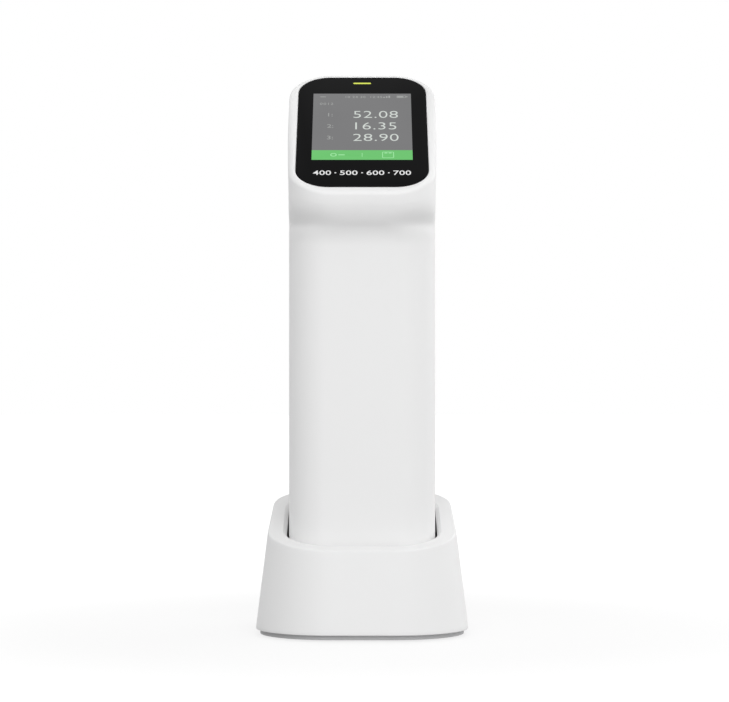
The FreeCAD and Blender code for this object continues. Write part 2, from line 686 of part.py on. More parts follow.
def socket_shell(name, y, z):
    """A flat metal power socket that opens to the rear, with its contact tongue."""
    half = S.inlet_half_width
    shell = block(name + "_shell", (-half, half), (y, y + S.inlet_length), (z, z + S.inlet_height))
    wall = S.inlet_wall
    hollow = block(name + "_hollow", (wall - half, half - wall),
                   (y + S.inlet_length / 4, y + S.inlet_length),
                   (z + wall, z + S.inlet_height - wall))
    tongue = block(name + "_tongue", (half * -0.7, half * 0.7),
                   (y, y + S.inlet_length * 0.8),
                   (z + S.inlet_height / 2 - wall, z + S.inlet_height / 2 + wall))
    return join(name, cut(name + "_tube", shell, hollow), tongue)


def pin_block():
    """Insulating block that guides the contact pins and their springs."""
    half = S.pin_block_half_width
    middle = CY + S.pin_rear
    body = block("pin_block_blank", (-half, half),
                 (middle - S.pin_block_half_depth, middle + S.pin_block_half_depth),
                 (DOCK_BOARD_TOP, LINER_UNDER))
    wide = S.pin_radius + S.pin_collar + S.run_gap
    collar_top = DOCK_BOARD_TOP + S.pin_spring_height + S.pin_collar_height + S.run_gap
    tools = []
    for x, y in pin_places():
        tools.append(rod("pin_bore_low", wide, collar_top - DOCK_BOARD_TOP, x, y, DOCK_BOARD_TOP))
        tools.append(rod("pin_bore_high", S.pin_radius + S.run_gap / 2, LINER_UNDER, x, y,
                         DOCK_BOARD_TOP))
    return cut("pin_block", body, *tools)


def contact_pin(name, x, y):
    """Round gold pin with a collar that its spring lifts."""
    low = DOCK_BOARD_TOP + S.pin_spring_height
    return join(name, rod(name + "_stem", S.pin_radius, BASE - low, x, y, low),
                rod(name + "_collar", S.pin_radius + S.pin_collar, S.pin_collar_height, x, y, low))


def pin_spring(name, x, y):
    """Coil under a contact pin, as the tube that its wire fills."""
    outer = S.pin_radius + S.pin_collar
    height = S.pin_spring_height
    return cut(name, rod(name + "_outer", outer, height, x, y, DOCK_BOARD_TOP),
               rod(name + "_inner", outer - S.pin_spring_wire, height, x, y, DOCK_BOARD_TOP))


def carrier_low():
    return MASK_FACE - S.tile_thickness - S.carrier_floor


def tile_carrier():
    """Cup that holds the calibration tile, with a flange that stops under the socket's floor."""
    radius = S.tile_radius + S.carrier_wall
    low = carrier_low()
    top = MASK_FACE - S.tile_thickness / 4
    flange_top = LINER_UNDER - S.run_gap
    blank = join("carrier_blank", rod("carrier_wall_ring", radius, top - low, 0, CY, low),
                 rod("carrier_flange_ring", radius + S.carrier_flange, S.carrier_flange_height,
                     0, CY, flange_top - S.carrier_flange_height))
    return cut("tile_carrier", blank,
               rod("carrier_seat", S.tile_radius, top - low, 0, CY, low + S.carrier_floor))


def calibration_tile():
    """White ceramic disc whose upper face closes the measuring aperture."""
    return rod("calibration_tile", S.tile_radius, S.tile_thickness, 0, CY,
               MASK_FACE - S.tile_thickness)


def tile_foam():
    """Ring of foam that presses the tile flat against the instrument."""
    height = carrier_low() - S.base_top
    return cut("tile_foam", rod("foam_outer", S.tile_radius, height, 0, CY, S.base_top),
               rod("foam_inner", S.tile_radius - S.foam_wall, height, 0, CY, S.base_top))


# Housing of the instrument

def smooth(height, low, high):
    """Smooth step from 0 at a low level to 1 at a high one, as a size."""
    share = (height - low) / (high - low)
    if share.value <= 0:
        return as_size(0)
    if share.value >= 1:
        return as_size(1)
    return share * share * (3 - share * 2)


def housing_levels(wall):
    """Outlines of the housing from the bottom cap to over the head, drawn in by a wall.

    The front is straight, then a hollow arc runs into the round chin; over the chin the head widens
    and the rear leans out, both smoothly.
    """
    turn_cosine = 1 - S.chin_reach / (S.chin_radius + S.crease_radius)
    turn = math.acos(turn_cosine.value)
    steps = 5
    fronts = []
    drop = (S.chin_radius + S.crease_radius) * root_of(1 - turn_cosine * turn_cosine)
    crease_low = S.chin_height - drop
    for step in range(steps + 1):
        angle = turn * step / steps
        out = S.crease_radius * (1 - math.cos(angle))
        fronts.append((crease_low + S.crease_radius * math.sin(angle), out))
    for step in range(1, steps + 1):
        angle = turn * (1 - step / steps)
        out = S.chin_reach - S.chin_radius * (1 - math.cos(angle))
        fronts.append((S.chin_height - S.chin_radius * math.sin(angle), out))
    levels = [(CAP_TOP, as_size(0))] + fronts
    top = S.panel_height + S.column_half_depth * 2
    for share in (0.25, 0.5, 0.75, 1.0):
        levels.append((S.chin_height + (S.nape_high - S.chin_height) * share, S.chin_reach))
    levels.append((top, S.chin_reach))
    result = []
    for level, out in levels:
        grown = smooth(level, S.nape_low - S.crease_radius, S.nape_high)
        share = out / S.chin_reach
        widened = smooth(level, S.chin_height, S.nape_high)
        half = S.column_half_width + (S.head_half_width - S.column_half_width) * widened
        radius = S.column_radius + (S.head_radius - S.column_radius) * share
        outline = Outline(half, COLUMN_FRONT - out, COLUMN_REAR + S.nape_reach * grown, radius)
        result.append((outline.inset(wall), level))
    return result


def root_of(size):
    return Size("sqrt(%s)" % size.text, math.sqrt(size.value))


def over_panel(name, out):
    """Everything further out than a plane parallel to the display plane."""
    return half_space(name, S.panel_height + out / COS, S.panel_tilt)


def display_screw_places():
    return [(side * (S.display_board_half_width - S.screw_radius * 1.3), end * S.lcd_half_length * 0.7)
            for side in (-1, 1) for end in (-1, 1)]


def rear_prism(name, outline, low, high, z):
    """An outline raised along +Y, about a height on the middle plane."""
    item = prism(name, outline, as_size(0), high - low)
    item.Placement = Placement(ORIGIN, AXES["y"])
    place(item, 0, low, z)
    return item


def button_outline(grow):
    half_width = S.button_half_width + grow
    half_height = S.button_half_height + grow
    return Outline(half_width, -half_height, half_height, S.button_radius + grow)


def housing_solid():
    """The whole housing as one skin with a ledge for the glass, before it is split in two."""
    form = cut("housing_blank", loft("housing_form", housing_levels(as_size(0))),
               over_panel("over_display", as_size(0)))
    doc.recompute()
    rounded = doc.addObject("Part::Fillet", "housing_rounded")
    rounded.Base = form
    radius = S.head_edge.value
    rounded.Edges = [(index, radius, radius)
                     for index in edges_on(form.Shape, S.panel_height, S.panel_tilt)]
    cavity = cut("housing_cavity", loft("cavity_form", housing_levels(S.wall)),
                 over_panel("over_ledge", BOARD_SEAT))
    bottom = prism("housing_mouth", COLUMN_OUTLINE.inset(S.wall), CAP_TOP - S.wall, CAP_TOP + S.wall)
    recess = panel_prism("glass_recess", GLASS_OUTLINE.inset(-S.fit_gap),
                         -S.glass_thickness - S.gasket_thickness, S.chin_radius)
    window = panel_prism("glass_window", GLASS_OUTLINE.inset(S.ledge_width), BOARD_SEAT * 2, as_size(0))
    threads = [tilt(rod("display_thread", S.screw_radius, S.ledge_thickness * 0.8),
                    along, BOARD_SEAT, x) for x, along in display_screw_places()]
    return cut("housing_skin", rounded, cavity, bottom, recess, window, *threads)


def housings():
    """Front housing with the display's frame, and rear housing with the buttons and the socket."""
    skin = housing_solid()
    far = HALF_DEPTH * 2
    ahead = block("front_half", (-far, far), (-far, S.split_y), (as_size(0), S.panel_height * 2))
    front_tool = join("front_tool", ahead, over_panel("over_seam", -S.split_drop))
    front = common("front_housing", skin, front_tool)
    rear_wall = (COLUMN_REAR - S.wall * 2, COLUMN_REAR + S.wall)
    side = S.inlet_half_width + S.inlet_gap
    tools = [front_tool,
             rear_prism("button_hole", button_outline(S.button_gap), *rear_wall, S.button_height),
             rod("power_hole", S.power_radius + S.button_gap, S.wall * 3, 0, rear_wall[0],
                 POWER_HEIGHT, along="y"),
             block("port_hole", (-side, side), rear_wall,
                   (S.port_height - S.inlet_height / 2 - S.inlet_gap,
                    S.port_height + S.inlet_height / 2 + S.inlet_gap))]
    return front, cut("rear_housing", skin, *tools)


COLUMN_OUTLINE = Outline(S.column_half_width, COLUMN_FRONT, COLUMN_REAR, S.column_radius)


def base_screw_places():
    return four_corners(S.post_x, S.post_y, CY)


def turned_block(name, half_length, half_width, low, high, angle):
    """A bar through the column's axis, turned about it."""
    item = doc.addObject("Part::Box", name)
    bind(item, "Length", half_length * 2)
    bind(item, "Width", half_width * 2)
    bind(item, "Height", high - low)
    item.Placement = Placement(ORIGIN, Rotation(UP, angle.value))
    bind(item, "Placement.Rotation.Angle", angle)
    place(item, half_width * sine(angle) - half_length * cosine(angle),
          CY - half_width * cosine(angle) - half_length * sine(angle), low)
    return item


def bottom_cap():
    """Plate that closes the housing and holds the mask; its two notches let the mask's tabs through."""
    plate = prism("cap_plate", COLUMN_OUTLINE, BASE, CAP_TOP)
    lip_outline = COLUMN_OUTLINE.inset(S.wall + S.fit_gap)
    lip = prism("cap_lip_form", lip_outline, CAP_TOP - S.wall, CAP_TOP + S.cap_lip)
    well = prism("cap_well", lip_outline.inset(S.cap_lip_wall), CAP_TOP, CAP_TOP + S.cap_lip * 2)
    thick = S.cap_thickness
    hole = rod("mask_hole", S.mask_radius + S.mask_clearance, thick * 2, 0, CY, BASE - thick / 2)
    reach = S.mask_radius + S.mask_tab + S.run_gap
    notch = turned_block("mask_notch", reach, S.mask_tab_half_width + S.run_gap, BASE - thick / 2,
                         CAP_TOP + thick / 2, S.mask_twist)
    tools = [hole, notch, well]
    for x, y in base_screw_places():
        tools.append(rod("cap_screw_hole", S.base_screw_radius, thick * 2, x, y, BASE - thick / 2))
        tools.append(rod("cap_head_hole", S.base_screw_head_radius,
                         S.base_screw_sink + S.screw_head, x, y, BASE))
    for x, y in pin_places():
        tools.append(rod("pad_hole", S.pad_radius, S.pad_thickness, x, y, BASE))
    return cut("bottom_cap", join("cap_blank", plate, lip), *tools)


def base_screws():
    head = BASE + S.base_screw_sink
    low = head + S.screw_head
    return screws("base_screws", base_screw_places(), head, low, low + S.base_screw_length,
                  S.base_screw_radius, S.base_screw_head_radius, S.screw_head,
                  S.base_screw_radius * 0.8)


def charging_pads():
    """Two gold pads in the bottom cap that meet the dock's contact pins."""
    return group("charging_pads", *[rod("charging_pad", S.pad_radius, S.pad_thickness, x, y, BASE)
                                    for x, y in pin_places()])


def target_mask():
    """Round plate with the measuring aperture, held by two tabs and freed by a short turn."""
    top = CAP_TOP + S.run_gap + S.mask_tab_height
    disc = rod("mask_disc", S.mask_radius, top - MASK_FACE, 0, CY, MASK_FACE)
    bar = turned_block("mask_bar", S.mask_radius + S.mask_tab, S.mask_tab_half_width,
                       top - S.mask_tab_height, top, as_size(0))
    land = rod("aperture_land", S.aperture_radius, top, 0, CY, as_size(0))
    flare = cone("aperture_flare", S.aperture_radius, S.aperture_flare,
                 top - MASK_FACE - S.aperture_land, 0, CY, MASK_FACE + S.aperture_land)
    return cut("target_mask", join("mask_blank", disc, bar), land, flare)


def mask_seal():
    """Thin foam ring under the sphere that keeps stray light out of the mask's gap."""
    low = S.sphere_base - S.mask_seal_thickness
    outer = S.aperture_flare + S.mask_tab * 2
    return cut("mask_seal", rod("seal_outer", outer, S.mask_seal_thickness, 0, CY, low),
               rod("seal_inner", S.aperture_flare, S.mask_seal_thickness, 0, CY, low))


# Optics

def leaning_rod(name, radius, start, length, side=1):
    """A cylinder on a line from the sample's middle that leans by the viewing angle, rear or front."""
    item = doc.addObject("Part::Cylinder", name)
    bind(item, "Radius", radius)
    bind(item, "Height", length)
    item.Placement = Placement(ORIGIN, Rotation(Vector(-side, 0, 0), S.view_angle.value))
    bind(item, "Placement.Rotation.Angle", S.view_angle)
    place(item, 0, CY + side * start * sine(S.view_angle), MASK_FACE + start * cosine(S.view_angle))
    return item


def reach_at(height):
    """Distance along the viewing axis at which it crosses a height."""
    return (height - MASK_FACE) / cosine(S.view_angle)


TUBE_START = reach_at(SPHERE_TOP - S.tube_sink)
TUBE_END = reach_at(S.spectro_base) - S.tube_radius * tangent(S.view_angle) - S.fit_gap


def sphere_ball(name):
    return ball(name, S.sphere_radius, 0, CY, SPHERE_MIDDLE)


def lamp_hole(name):
    return rod(name, S.lamp_radius, S.sphere_block_radius, 0, CY + S.sphere_radius / 2, SPHERE_MIDDLE,
               along="y")


def sphere_lower():
    """Lower half of the integrating sphere, with the sample port."""
    block_low = rod("sphere_low_block", S.sphere_block_radius, SPHERE_MIDDLE - S.sphere_base,
                    0, CY, S.sphere_base)
    port = rod("sample_port", S.sample_port_radius, S.sphere_radius, 0, CY,
               S.sphere_base - S.sphere_wall)
    return cut("sphere_lower", block_low, sphere_ball("low_ball"), port, lamp_hole("low_lamp_hole"))


def sphere_upper():
    """Upper half, with the viewing port, the gloss port and the seats of tube and trap."""
    block_high = rod("sphere_high_block", S.sphere_block_radius, SPHERE_TOP - SPHERE_MIDDLE,
                     0, CY, SPHERE_MIDDLE)
    middle = reach_at(SPHERE_MIDDLE)
    tools = [sphere_ball("high_ball"), lamp_hole("high_lamp_hole")]
    for side, radius in ((1, S.tube_radius), (-1, S.trap_radius)):
        tools.append(leaning_rod("view_port", S.view_port_radius, middle, S.sphere_radius * 2, side))
        tools.append(leaning_rod("port_seat", radius, TUBE_START, S.sphere_radius, side))
    return cut("sphere_upper", block_high, *tools)


def lens_tube():
    tube = leaning_rod("tube_outer", S.tube_radius, TUBE_START, TUBE_END - TUBE_START)
    bore = leaning_rod("tube_bore", S.tube_radius - S.tube_wall, TUBE_START, TUBE_END - TUBE_START)
    return cut("lens_tube", tube, bore)


def viewing_lens():
    """Plano-convex lens in the middle of its tube."""
    middle = (TUBE_START + TUBE_END - S.lens_thickness) / 2
    return leaning_rod("viewing_lens", S.tube_radius - S.tube_wall, middle, S.lens_thickness)


def gloss_trap():
    """Black cup over the gloss port."""
    cup = leaning_rod("trap_cup", S.trap_radius, TUBE_START, S.trap_height, -1)
    well = leaning_rod("trap_well", S.trap_radius - S.trap_wall, TUBE_START,
                       S.trap_height - S.trap_wall, -1)
    return cut("gloss_trap", cup, well)


def lamp():
    return rod("lamp", S.lamp_radius, S.lamp_length, 0, lamp_front(), SPHERE_MIDDLE, along="y")


def lamp_front():
    return CY + S.sphere_block_radius + S.fit_gap * 2 - S.lamp_length


def lamp_board():
    low = lamp_front() + S.lamp_length
    return block("lamp_board", (-S.lamp_board_half_width, S.lamp_board_half_width),
                 (low, low + S.board_thickness),
                 (SPHERE_MIDDLE - S.lamp_board_half_height, SPHERE_MIDDLE + S.lamp_board_half_height))


def inner_frame():
    """Frame that carries the optics, the battery and the main board, on four posts."""
    deck = Outline(S.frame_half_width, CY - S.deck_half_depth, CY + S.deck_half_depth, S.deck_radius)
    optic = prism("optic_deck", deck, OPTIC_DECK, OPTIC_DECK + S.deck_thickness)
    tray = prism("battery_deck", Outline(S.frame_half_width, CY - S.deck_half_depth, BOARD_FRONT,
                                         S.deck_radius, S.wall),
                 BATTERY_DECK, BATTERY_DECK + S.deck_thickness)
    pieces = [optic, tray]
    for side in (-1, 1):
        ends = sorted((side * S.frame_half_width, side * (S.frame_half_width - S.frame_wall)),
                      key=value_of)
        pieces.append(block("frame_side", ends, (CY - S.frame_half_depth, BOARD_FRONT),
                            (OPTIC_DECK, S.frame_top)))
    for x, y in base_screw_places():
        pieces.append(rod("frame_post", S.post_radius, OPTIC_DECK - CAP_TOP, x, y, CAP_TOP))
    for side in (-1, 1):
        for y in (CY + S.spectro_rear - S.leg_radius, CY - S.spectro_front + S.leg_radius):
            pieces.append(rod("frame_leg", S.leg_radius, S.spectro_base - OPTIC_DECK,
                              side * S.leg_x, y, OPTIC_DECK))
    tools = [leaning_rod("deck_tube_hole", S.tube_radius + S.fit_gap, TUBE_START, S.sphere_radius),
             leaning_rod("deck_trap_hole", S.trap_radius + S.fit_gap, TUBE_START, S.sphere_radius, -1)]
    for x, y in base_screw_places():
        tools.append(rod("post_thread", S.base_screw_radius, S.base_screw_length, x, y, CAP_TOP))
    for x, z in board_screw_places():
        tools.append(rod("frame_thread", S.screw_radius, S.small_screw_length, x,
                         BOARD_REAR - S.small_screw_length, z, along="y"))
    return cut("inner_frame", join("frame_blank", *pieces), *tools)


def board_screw_places():
    inset = S.screw_head_radius + S.fit_gap * 4
    x = S.frame_half_width - S.frame_wall / 2
    return [(side * x, z) for side in (-1, 1) for z in (S.main_board_low + inset, S.frame_top - inset)]


def side_screws(name, places, face, side):
    """Small screws along Y whose heads lie on a face; side says where the heads point."""
    out = []
    for index, (x, z) in enumerate(places):
        low, high = sorted((face, face + side * S.screw_head), key=value_of)
        head = rod("%s_head" % name, S.screw_head_radius, high - low, x, low, z, along="y")
        low, high = sorted((face, face - side * S.small_screw_length), key=value_of)
        shank = rod("%s_shank" % name, S.screw_radius, high - low, x, low, z, along="y")
        out.append(join("%s_%d" % (name, index), head, shank))
    return group(name, *out)


def spectro_screw_places():
    inset = S.spectro_wall / 2
    return [(side * (S.spectro_half_width - inset), z) for side in (-1, 1)
            for z in (S.spectro_base + inset * 3, SPECTRO_TOP - inset * 3)]


SPECTRO_FRONT = CY - S.spectro_front
SLIT_PLACE = CY + (S.spectro_base + S.spectro_wall - MASK_FACE) * tangent(S.view_angle)


def spectrometer_housing():
    """Metal box of the spectrometer, open to the front, with the slit's hole in its floor."""
    half = S.spectro_half_width
    wall = S.spectro_wall
    blank = block("spectro_blank", (-half, half), (SPECTRO_FRONT, CY + S.spectro_rear),
                  (S.spectro_base, SPECTRO_TOP))
    hollow = block("spectro_hollow", (wall - half, half - wall),
                   (SPECTRO_FRONT - wall, CY + S.spectro_rear - wall),
                   (S.spectro_base + wall, SPECTRO_TOP - wall))
    hole = leaning_rod("spectro_hole", S.slit_radius / 2, reach_at(S.spectro_base - wall), wall * 3)
    threads = [rod("spectro_thread", S.screw_radius, S.small_screw_length, x, SPECTRO_FRONT, z,
                   along="y") for x, z in spectro_screw_places()]
    return cut("spectrometer_housing", blank, hollow, hole, *threads)


def spectrometer_cover():
    half = S.spectro_half_width
    plate = block("spectro_plate", (-half, half), (SPECTRO_FRONT - S.spectro_cover, SPECTRO_FRONT),
                  (S.spectro_base, SPECTRO_TOP))
    holes = [rod("cover_hole", S.screw_radius, S.spectro_cover * 2, x,
                 SPECTRO_FRONT - S.spectro_cover * 1.5, z, along="y")
             for x, z in spectro_screw_places()]
    return cut("spectrometer_cover", plate, *holes)


def entrance_slit():
    """Thin disc with the narrow slit that the light enters by."""
    low = S.spectro_base + S.spectro_wall
    disc = rod("slit_disc", S.slit_radius, S.slit_thickness, 0, SLIT_PLACE, low)
    gap = block("slit_gap", (-S.slit_half_length, S.slit_half_length),
                (SLIT_PLACE - S.slit_half_width, SLIT_PLACE + S.slit_half_width),
                (low, low + S.slit_thickness))
    return cut("entrance_slit", disc, gap)


def concave_grating():
    """Round glass grating under the box's roof, with a hollow face that looks down."""
    face = SPECTRO_TOP - S.spectro_wall - S.grating_thickness
    depth = S.grating_curve - root_of(S.grating_curve * S.grating_curve
                                      - S.grating_radius * S.grating_radius)
    y = (SLIT_PLACE + CY) / 2
    return cut("concave_grating", rod("grating_disc", S.grating_radius, S.grating_thickness, 0, y, face),
               ball("grating_hollow", S.grating_curve, 0, y, face + depth - S.grating_curve))


def sensor_board():
    low = S.spectro_base + S.spectro_wall
    y = CY - S.sensor_place
    return block("sensor_board", (-S.sensor_board_half_width, S.sensor_board_half_width),
                 (y - S.sensor_board_half_depth, y + S.sensor_board_half_depth),
                 (low, low + S.board_thickness))


def line_sensor():
    low = S.spectro_base + S.spectro_wall + S.board_thickness
    y = CY - S.sensor_place
    return block("line_sensor", (-S.sensor_half_width, S.sensor_half_width),
                 (y - S.sensor_half_depth, y + S.sensor_half_depth), (low, low + S.sensor_height))


# Electronics and controls

def main_board():
    """Upright circuit board with its larger chips and the display cable's connector."""
    half = S.frame_half_width
    plate = block("main_plate", (-half, half), (BOARD_FRONT, BOARD_REAR),
                  (S.main_board_low, S.frame_top))
    chip = S.switch_half * 2
    out = S.board_thickness * 0.8
    chips = [block("main_chip", (x - chip / 2, x + chip / 2), (BOARD_FRONT - out, BOARD_FRONT),
                   (z - chip / 2, z + chip / 2))
             for x, z in ((-chip, S.button_height), (chip, S.button_height), (chip, BUZZER_HEIGHT))]
    holes = [rod("board_hole", S.screw_radius, S.board_thickness * 2, x,
                 BOARD_FRONT - S.board_thickness / 2, z, along="y") for x, z in board_screw_places()]
    return cut("main_board", join("board_blank", plate, *chips), *holes)


def battery_pack():
    front = CY - S.battery_front
    low = BATTERY_DECK + S.deck_thickness
    return prism("battery_pack", Outline(S.battery_half_width, front, front + S.battery_depth,
                                         S.battery_radius), low, low + S.battery_height)


def battery_foam():
    """Pad that keeps the battery from rattling against the front housing."""
    low = BATTERY_DECK + S.deck_thickness + S.battery_height / 4
    half = S.battery_foam_half_width
    return block("battery_foam", (-half, half), (COLUMN_FRONT + S.wall, CY - S.battery_front),
                 (low, low + S.battery_height / 2))


def push_switch(name, z):
    half = S.switch_half
    return block(name, (-half, half), (BOARD_REAR, BOARD_REAR + S.switch_height), (z - half, z + half))


def flange_span():
    """A button's flange runs just inside the housing's rear wall."""
    high = COLUMN_REAR - S.wall - S.button_gap
    return high - S.button_flange_thickness, high


def measure_button():
    """Long rear button under the index finger, kept in by its flange."""
    low, high = flange_span()
    cap = rear_prism("button_cap", button_outline(as_size(0)), low, COLUMN_REAR + S.button_proud,
                     S.button_height)
    flange = rear_prism("button_rim", button_outline(S.button_flange), low, high, S.button_height)
    return join("measure_button", cap, flange)


def power_button():
    low, high = flange_span()
    cap = rod("power_cap", S.power_radius, COLUMN_REAR + S.power_proud - low, 0, low,
              POWER_HEIGHT, along="y")
    rim = rod("power_rim", S.power_radius + S.button_flange, high - low, 0, low, POWER_HEIGHT,
              along="y")
    return join("power_button", cap, rim)


def buzzer():
    return rod("buzzer", S.buzzer_radius, S.buzzer_depth, -S.switch_half * 3, BOARD_FRONT - S.buzzer_depth,
               BUZZER_HEIGHT, along="y")


def display_flex():
    """Flat cable from the main board up to the display board's connector."""
    y = BOARD_FRONT - S.flex_thickness
    under = BOARD_SEAT - S.board_thickness - S.connector_depth
    top = S.panel_height + y * tangent(S.panel_tilt) + under / COS
    return block("display_flex", (-S.flex_half_width, S.flex_half_width), (y, BOARD_FRONT),
                 (S.flex_low, top))


# Display

def cover_glass():
    return panel_prism("cover_glass", GLASS_OUTLINE, -S.glass_thickness, as_size(0))


def glass_gasket():
    """Adhesive frame between the glass and its ledge."""
    low = -S.glass_thickness - S.gasket_thickness
    outer = panel_prism("gasket_outer", GLASS_OUTLINE.inset(S.fit_gap * 2), low, -S.glass_thickness)
    inner = panel_prism("gasket_inner", GLASS_OUTLINE.inset(S.ledge_width), low, -S.glass_thickness)
    return cut("glass_gasket", outer, inner)


def lcd_panel():
    half = S.lcd_half_length
    return panel_block("lcd_panel", (-S.lcd_half_width, S.lcd_half_width), (-half, half),
                       (BOARD_SEAT, -S.glass_thickness - S.lcd_gap))


def lcd_frame():
    """Thin frame that holds the display module on its board."""
    wide = S.lcd_half_width + S.lcd_frame_wall
    long = S.lcd_half_length + S.lcd_frame_wall
    top = -S.glass_thickness - S.lcd_gap * 2
    outer = panel_block("lcd_frame_outer", (-wide, wide), (-long, long), (BOARD_SEAT, top))
    inner = panel_block("lcd_frame_inner", (-S.lcd_half_width, S.lcd_half_width),
                        (-S.lcd_half_length, S.lcd_half_length), (BOARD_SEAT, top))
    return cut("lcd_frame", outer, inner)


def display_board():
    """Board behind the display, screwed up against the ledge, with the cable's connector below."""
    outline = Outline(S.display_board_half_width, -S.display_board_low, S.display_board_high,
                      S.glass_radius)
    low = BOARD_SEAT - S.board_thickness
    plate = panel_prism("display_plate", outline, low, BOARD_SEAT)
    middle = (BOARD_FRONT + low * SIN) / COS
    connector = panel_block("display_connector", (-S.flex_half_width, S.flex_half_width),
                            (middle - S.connector_depth, middle + S.connector_depth),
                            (low - S.connector_depth, low))
    holes = [tilt(rod("display_hole", S.screw_radius, S.board_thickness), along, low, x)
             for x, along in display_screw_places()]
    return cut("display_board", join("display_blank", plate, connector), *holes)


def display_screws():
    out = []
    low = BOARD_SEAT - S.board_thickness
    for index, (x, along) in enumerate(display_screw_places()):
        head = tilt(rod("display_screw_head", S.screw_head_radius * 0.8, S.screw_head),
                    along, low - S.screw_head, x)
        shank = tilt(rod("display_screw_shank", S.screw_radius,
                         S.board_thickness + S.ledge_thickness * 0.8), along, low, x)
        out.append(join("display_screw_%d" % index, head, shank))
    return group("display_screws", *out)


def status_light():
    """Clear bar under the glass that spreads the indicator's light."""
    half = S.light_bar_half_length
    return panel_block("status_light", (-S.light_bar_half_width, S.light_bar_half_width),
                       (S.light_bar_place - half, S.light_bar_place + half),
                       (BOARD_SEAT + S.led_height, -S.glass_thickness))


def status_led():
    half = S.led_half
    return panel_block("status_led", (-half, half),
                       (S.light_bar_place - half, S.light_bar_place + half),
                       (BOARD_SEAT, BOARD_SEAT + S.led_height))


def build_all():
    """Every sub-part by its name."""
    front, rear = housings()
    (left_x, pin_y), (right_x, _) = pin_places()
    parts = [dock_shell(), socket_liner(), dock_base(), dock_feet(), dock_screws(), ballast(),
             dock_board(), socket_shell("dock_inlet", inlet_front(), DOCK_BOARD_TOP), pin_block(),
             contact_pin("contact_pin_left", left_x, pin_y),
             contact_pin("contact_pin_right", right_x, pin_y),
             pin_spring("pin_spring_left", left_x, pin_y),
             pin_spring("pin_spring_right", right_x, pin_y),
             tile_carrier(), calibration_tile(), tile_foam(),
             front, rear, bottom_cap(), base_screws(), charging_pads(), target_mask(), mask_seal(),
             sphere_lower(), sphere_upper(), lens_tube(), viewing_lens(), gloss_trap(), lamp(),
             lamp_board(), inner_frame(), spectrometer_housing(), spectrometer_cover(),
             entrance_slit(), concave_grating(), sensor_board(), line_sensor(),
             side_screws("spectrometer_screws", spectro_screw_places(),
                         SPECTRO_FRONT - S.spectro_cover, -1),
             main_board(), side_screws("board_screws", board_screw_places(), BOARD_REAR, 1),
             battery_pack(), battery_foam(), push_switch("measure_switch", S.button_height),
             push_switch("power_switch", POWER_HEIGHT), measure_button(), power_button(),
             socket_shell("data_socket", BOARD_REAR, S.port_height - S.inlet_height / 2),
             buzzer(), display_flex(), cover_glass(), glass_gasket(), lcd_panel(), lcd_frame(),
             display_board(), display_screws(), status_light(), status_led()]
    return parts


def check(parts):
    """Stop if any object failed, or any sub-part is not a sound solid."""
    for item in doc.Objects:
        if "Invalid" in item.State or "Error" in item.State:
            raise RuntimeError("%s could not be worked out" % item.Name)
    for item in parts:
        shape = item.Shape
        if shape.isNull() or not shape.isValid() or not shape.Solids:
            raise RuntimeError("%s is not a sound solid" % item.Label)


def main():
    parts = build_all()
    for item in parts:
        item.Label = item.Name
    doc.recompute()
    check(parts)
    os.makedirs("parts", exist_ok=True)
    for item in parts:
        item.Shape.exportStep(os.path.join("parts", item.Label + ".step"))
        print("%-22s %d solids %9.1f mm3" % (item.Label, len(item.Shape.Solids), item.Shape.Volume))
    print(len(parts), "sub-parts")


main()
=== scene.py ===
# %% [markdown]
# # A handheld spectrophotometer in its charging dock
#
# The instrument is a tall white column with a slanted black display on top. It stands in a
# tapered white dock that charges it and holds a white calibration tile under its measuring
# aperture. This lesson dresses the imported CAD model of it: every visible skin is worked out again
# as a fine, soft-edged surface, and every other CAD piece keeps its shape and gets its finish.
#
# All lengths below are in millimetres. They become metres in one place, when a mesh is made.

import bmesh
import bpy
import numpy as np
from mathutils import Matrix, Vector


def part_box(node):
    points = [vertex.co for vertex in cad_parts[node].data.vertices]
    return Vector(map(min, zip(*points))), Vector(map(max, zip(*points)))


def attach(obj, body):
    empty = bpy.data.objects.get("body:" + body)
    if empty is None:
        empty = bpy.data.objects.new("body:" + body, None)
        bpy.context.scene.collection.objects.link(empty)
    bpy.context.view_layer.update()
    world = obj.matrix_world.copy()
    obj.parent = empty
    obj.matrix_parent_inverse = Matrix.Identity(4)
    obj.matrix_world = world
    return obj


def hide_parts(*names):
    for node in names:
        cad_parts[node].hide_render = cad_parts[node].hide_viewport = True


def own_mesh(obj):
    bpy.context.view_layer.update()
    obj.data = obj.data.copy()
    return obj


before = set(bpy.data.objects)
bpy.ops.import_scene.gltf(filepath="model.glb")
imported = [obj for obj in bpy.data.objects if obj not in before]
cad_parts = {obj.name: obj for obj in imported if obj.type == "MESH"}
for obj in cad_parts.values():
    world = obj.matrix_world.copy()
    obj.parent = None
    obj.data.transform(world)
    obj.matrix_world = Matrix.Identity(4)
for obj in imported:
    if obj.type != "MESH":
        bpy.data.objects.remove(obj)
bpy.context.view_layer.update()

MM = 0.001

# %% [markdown]
# ## From numbers to a mesh
#
# A skin can be modelled by pushing vertices by hand, or by subdividing a rough cage. Here each
# skin is a function on a grid instead: a row is one line round the piece and a column runs over
# it from edge to edge. Whole arrays of points are worked out at once and become quads, so an
# edge keeps its exact radius and the two halves of a seam match to a hundredth of a millimetre.

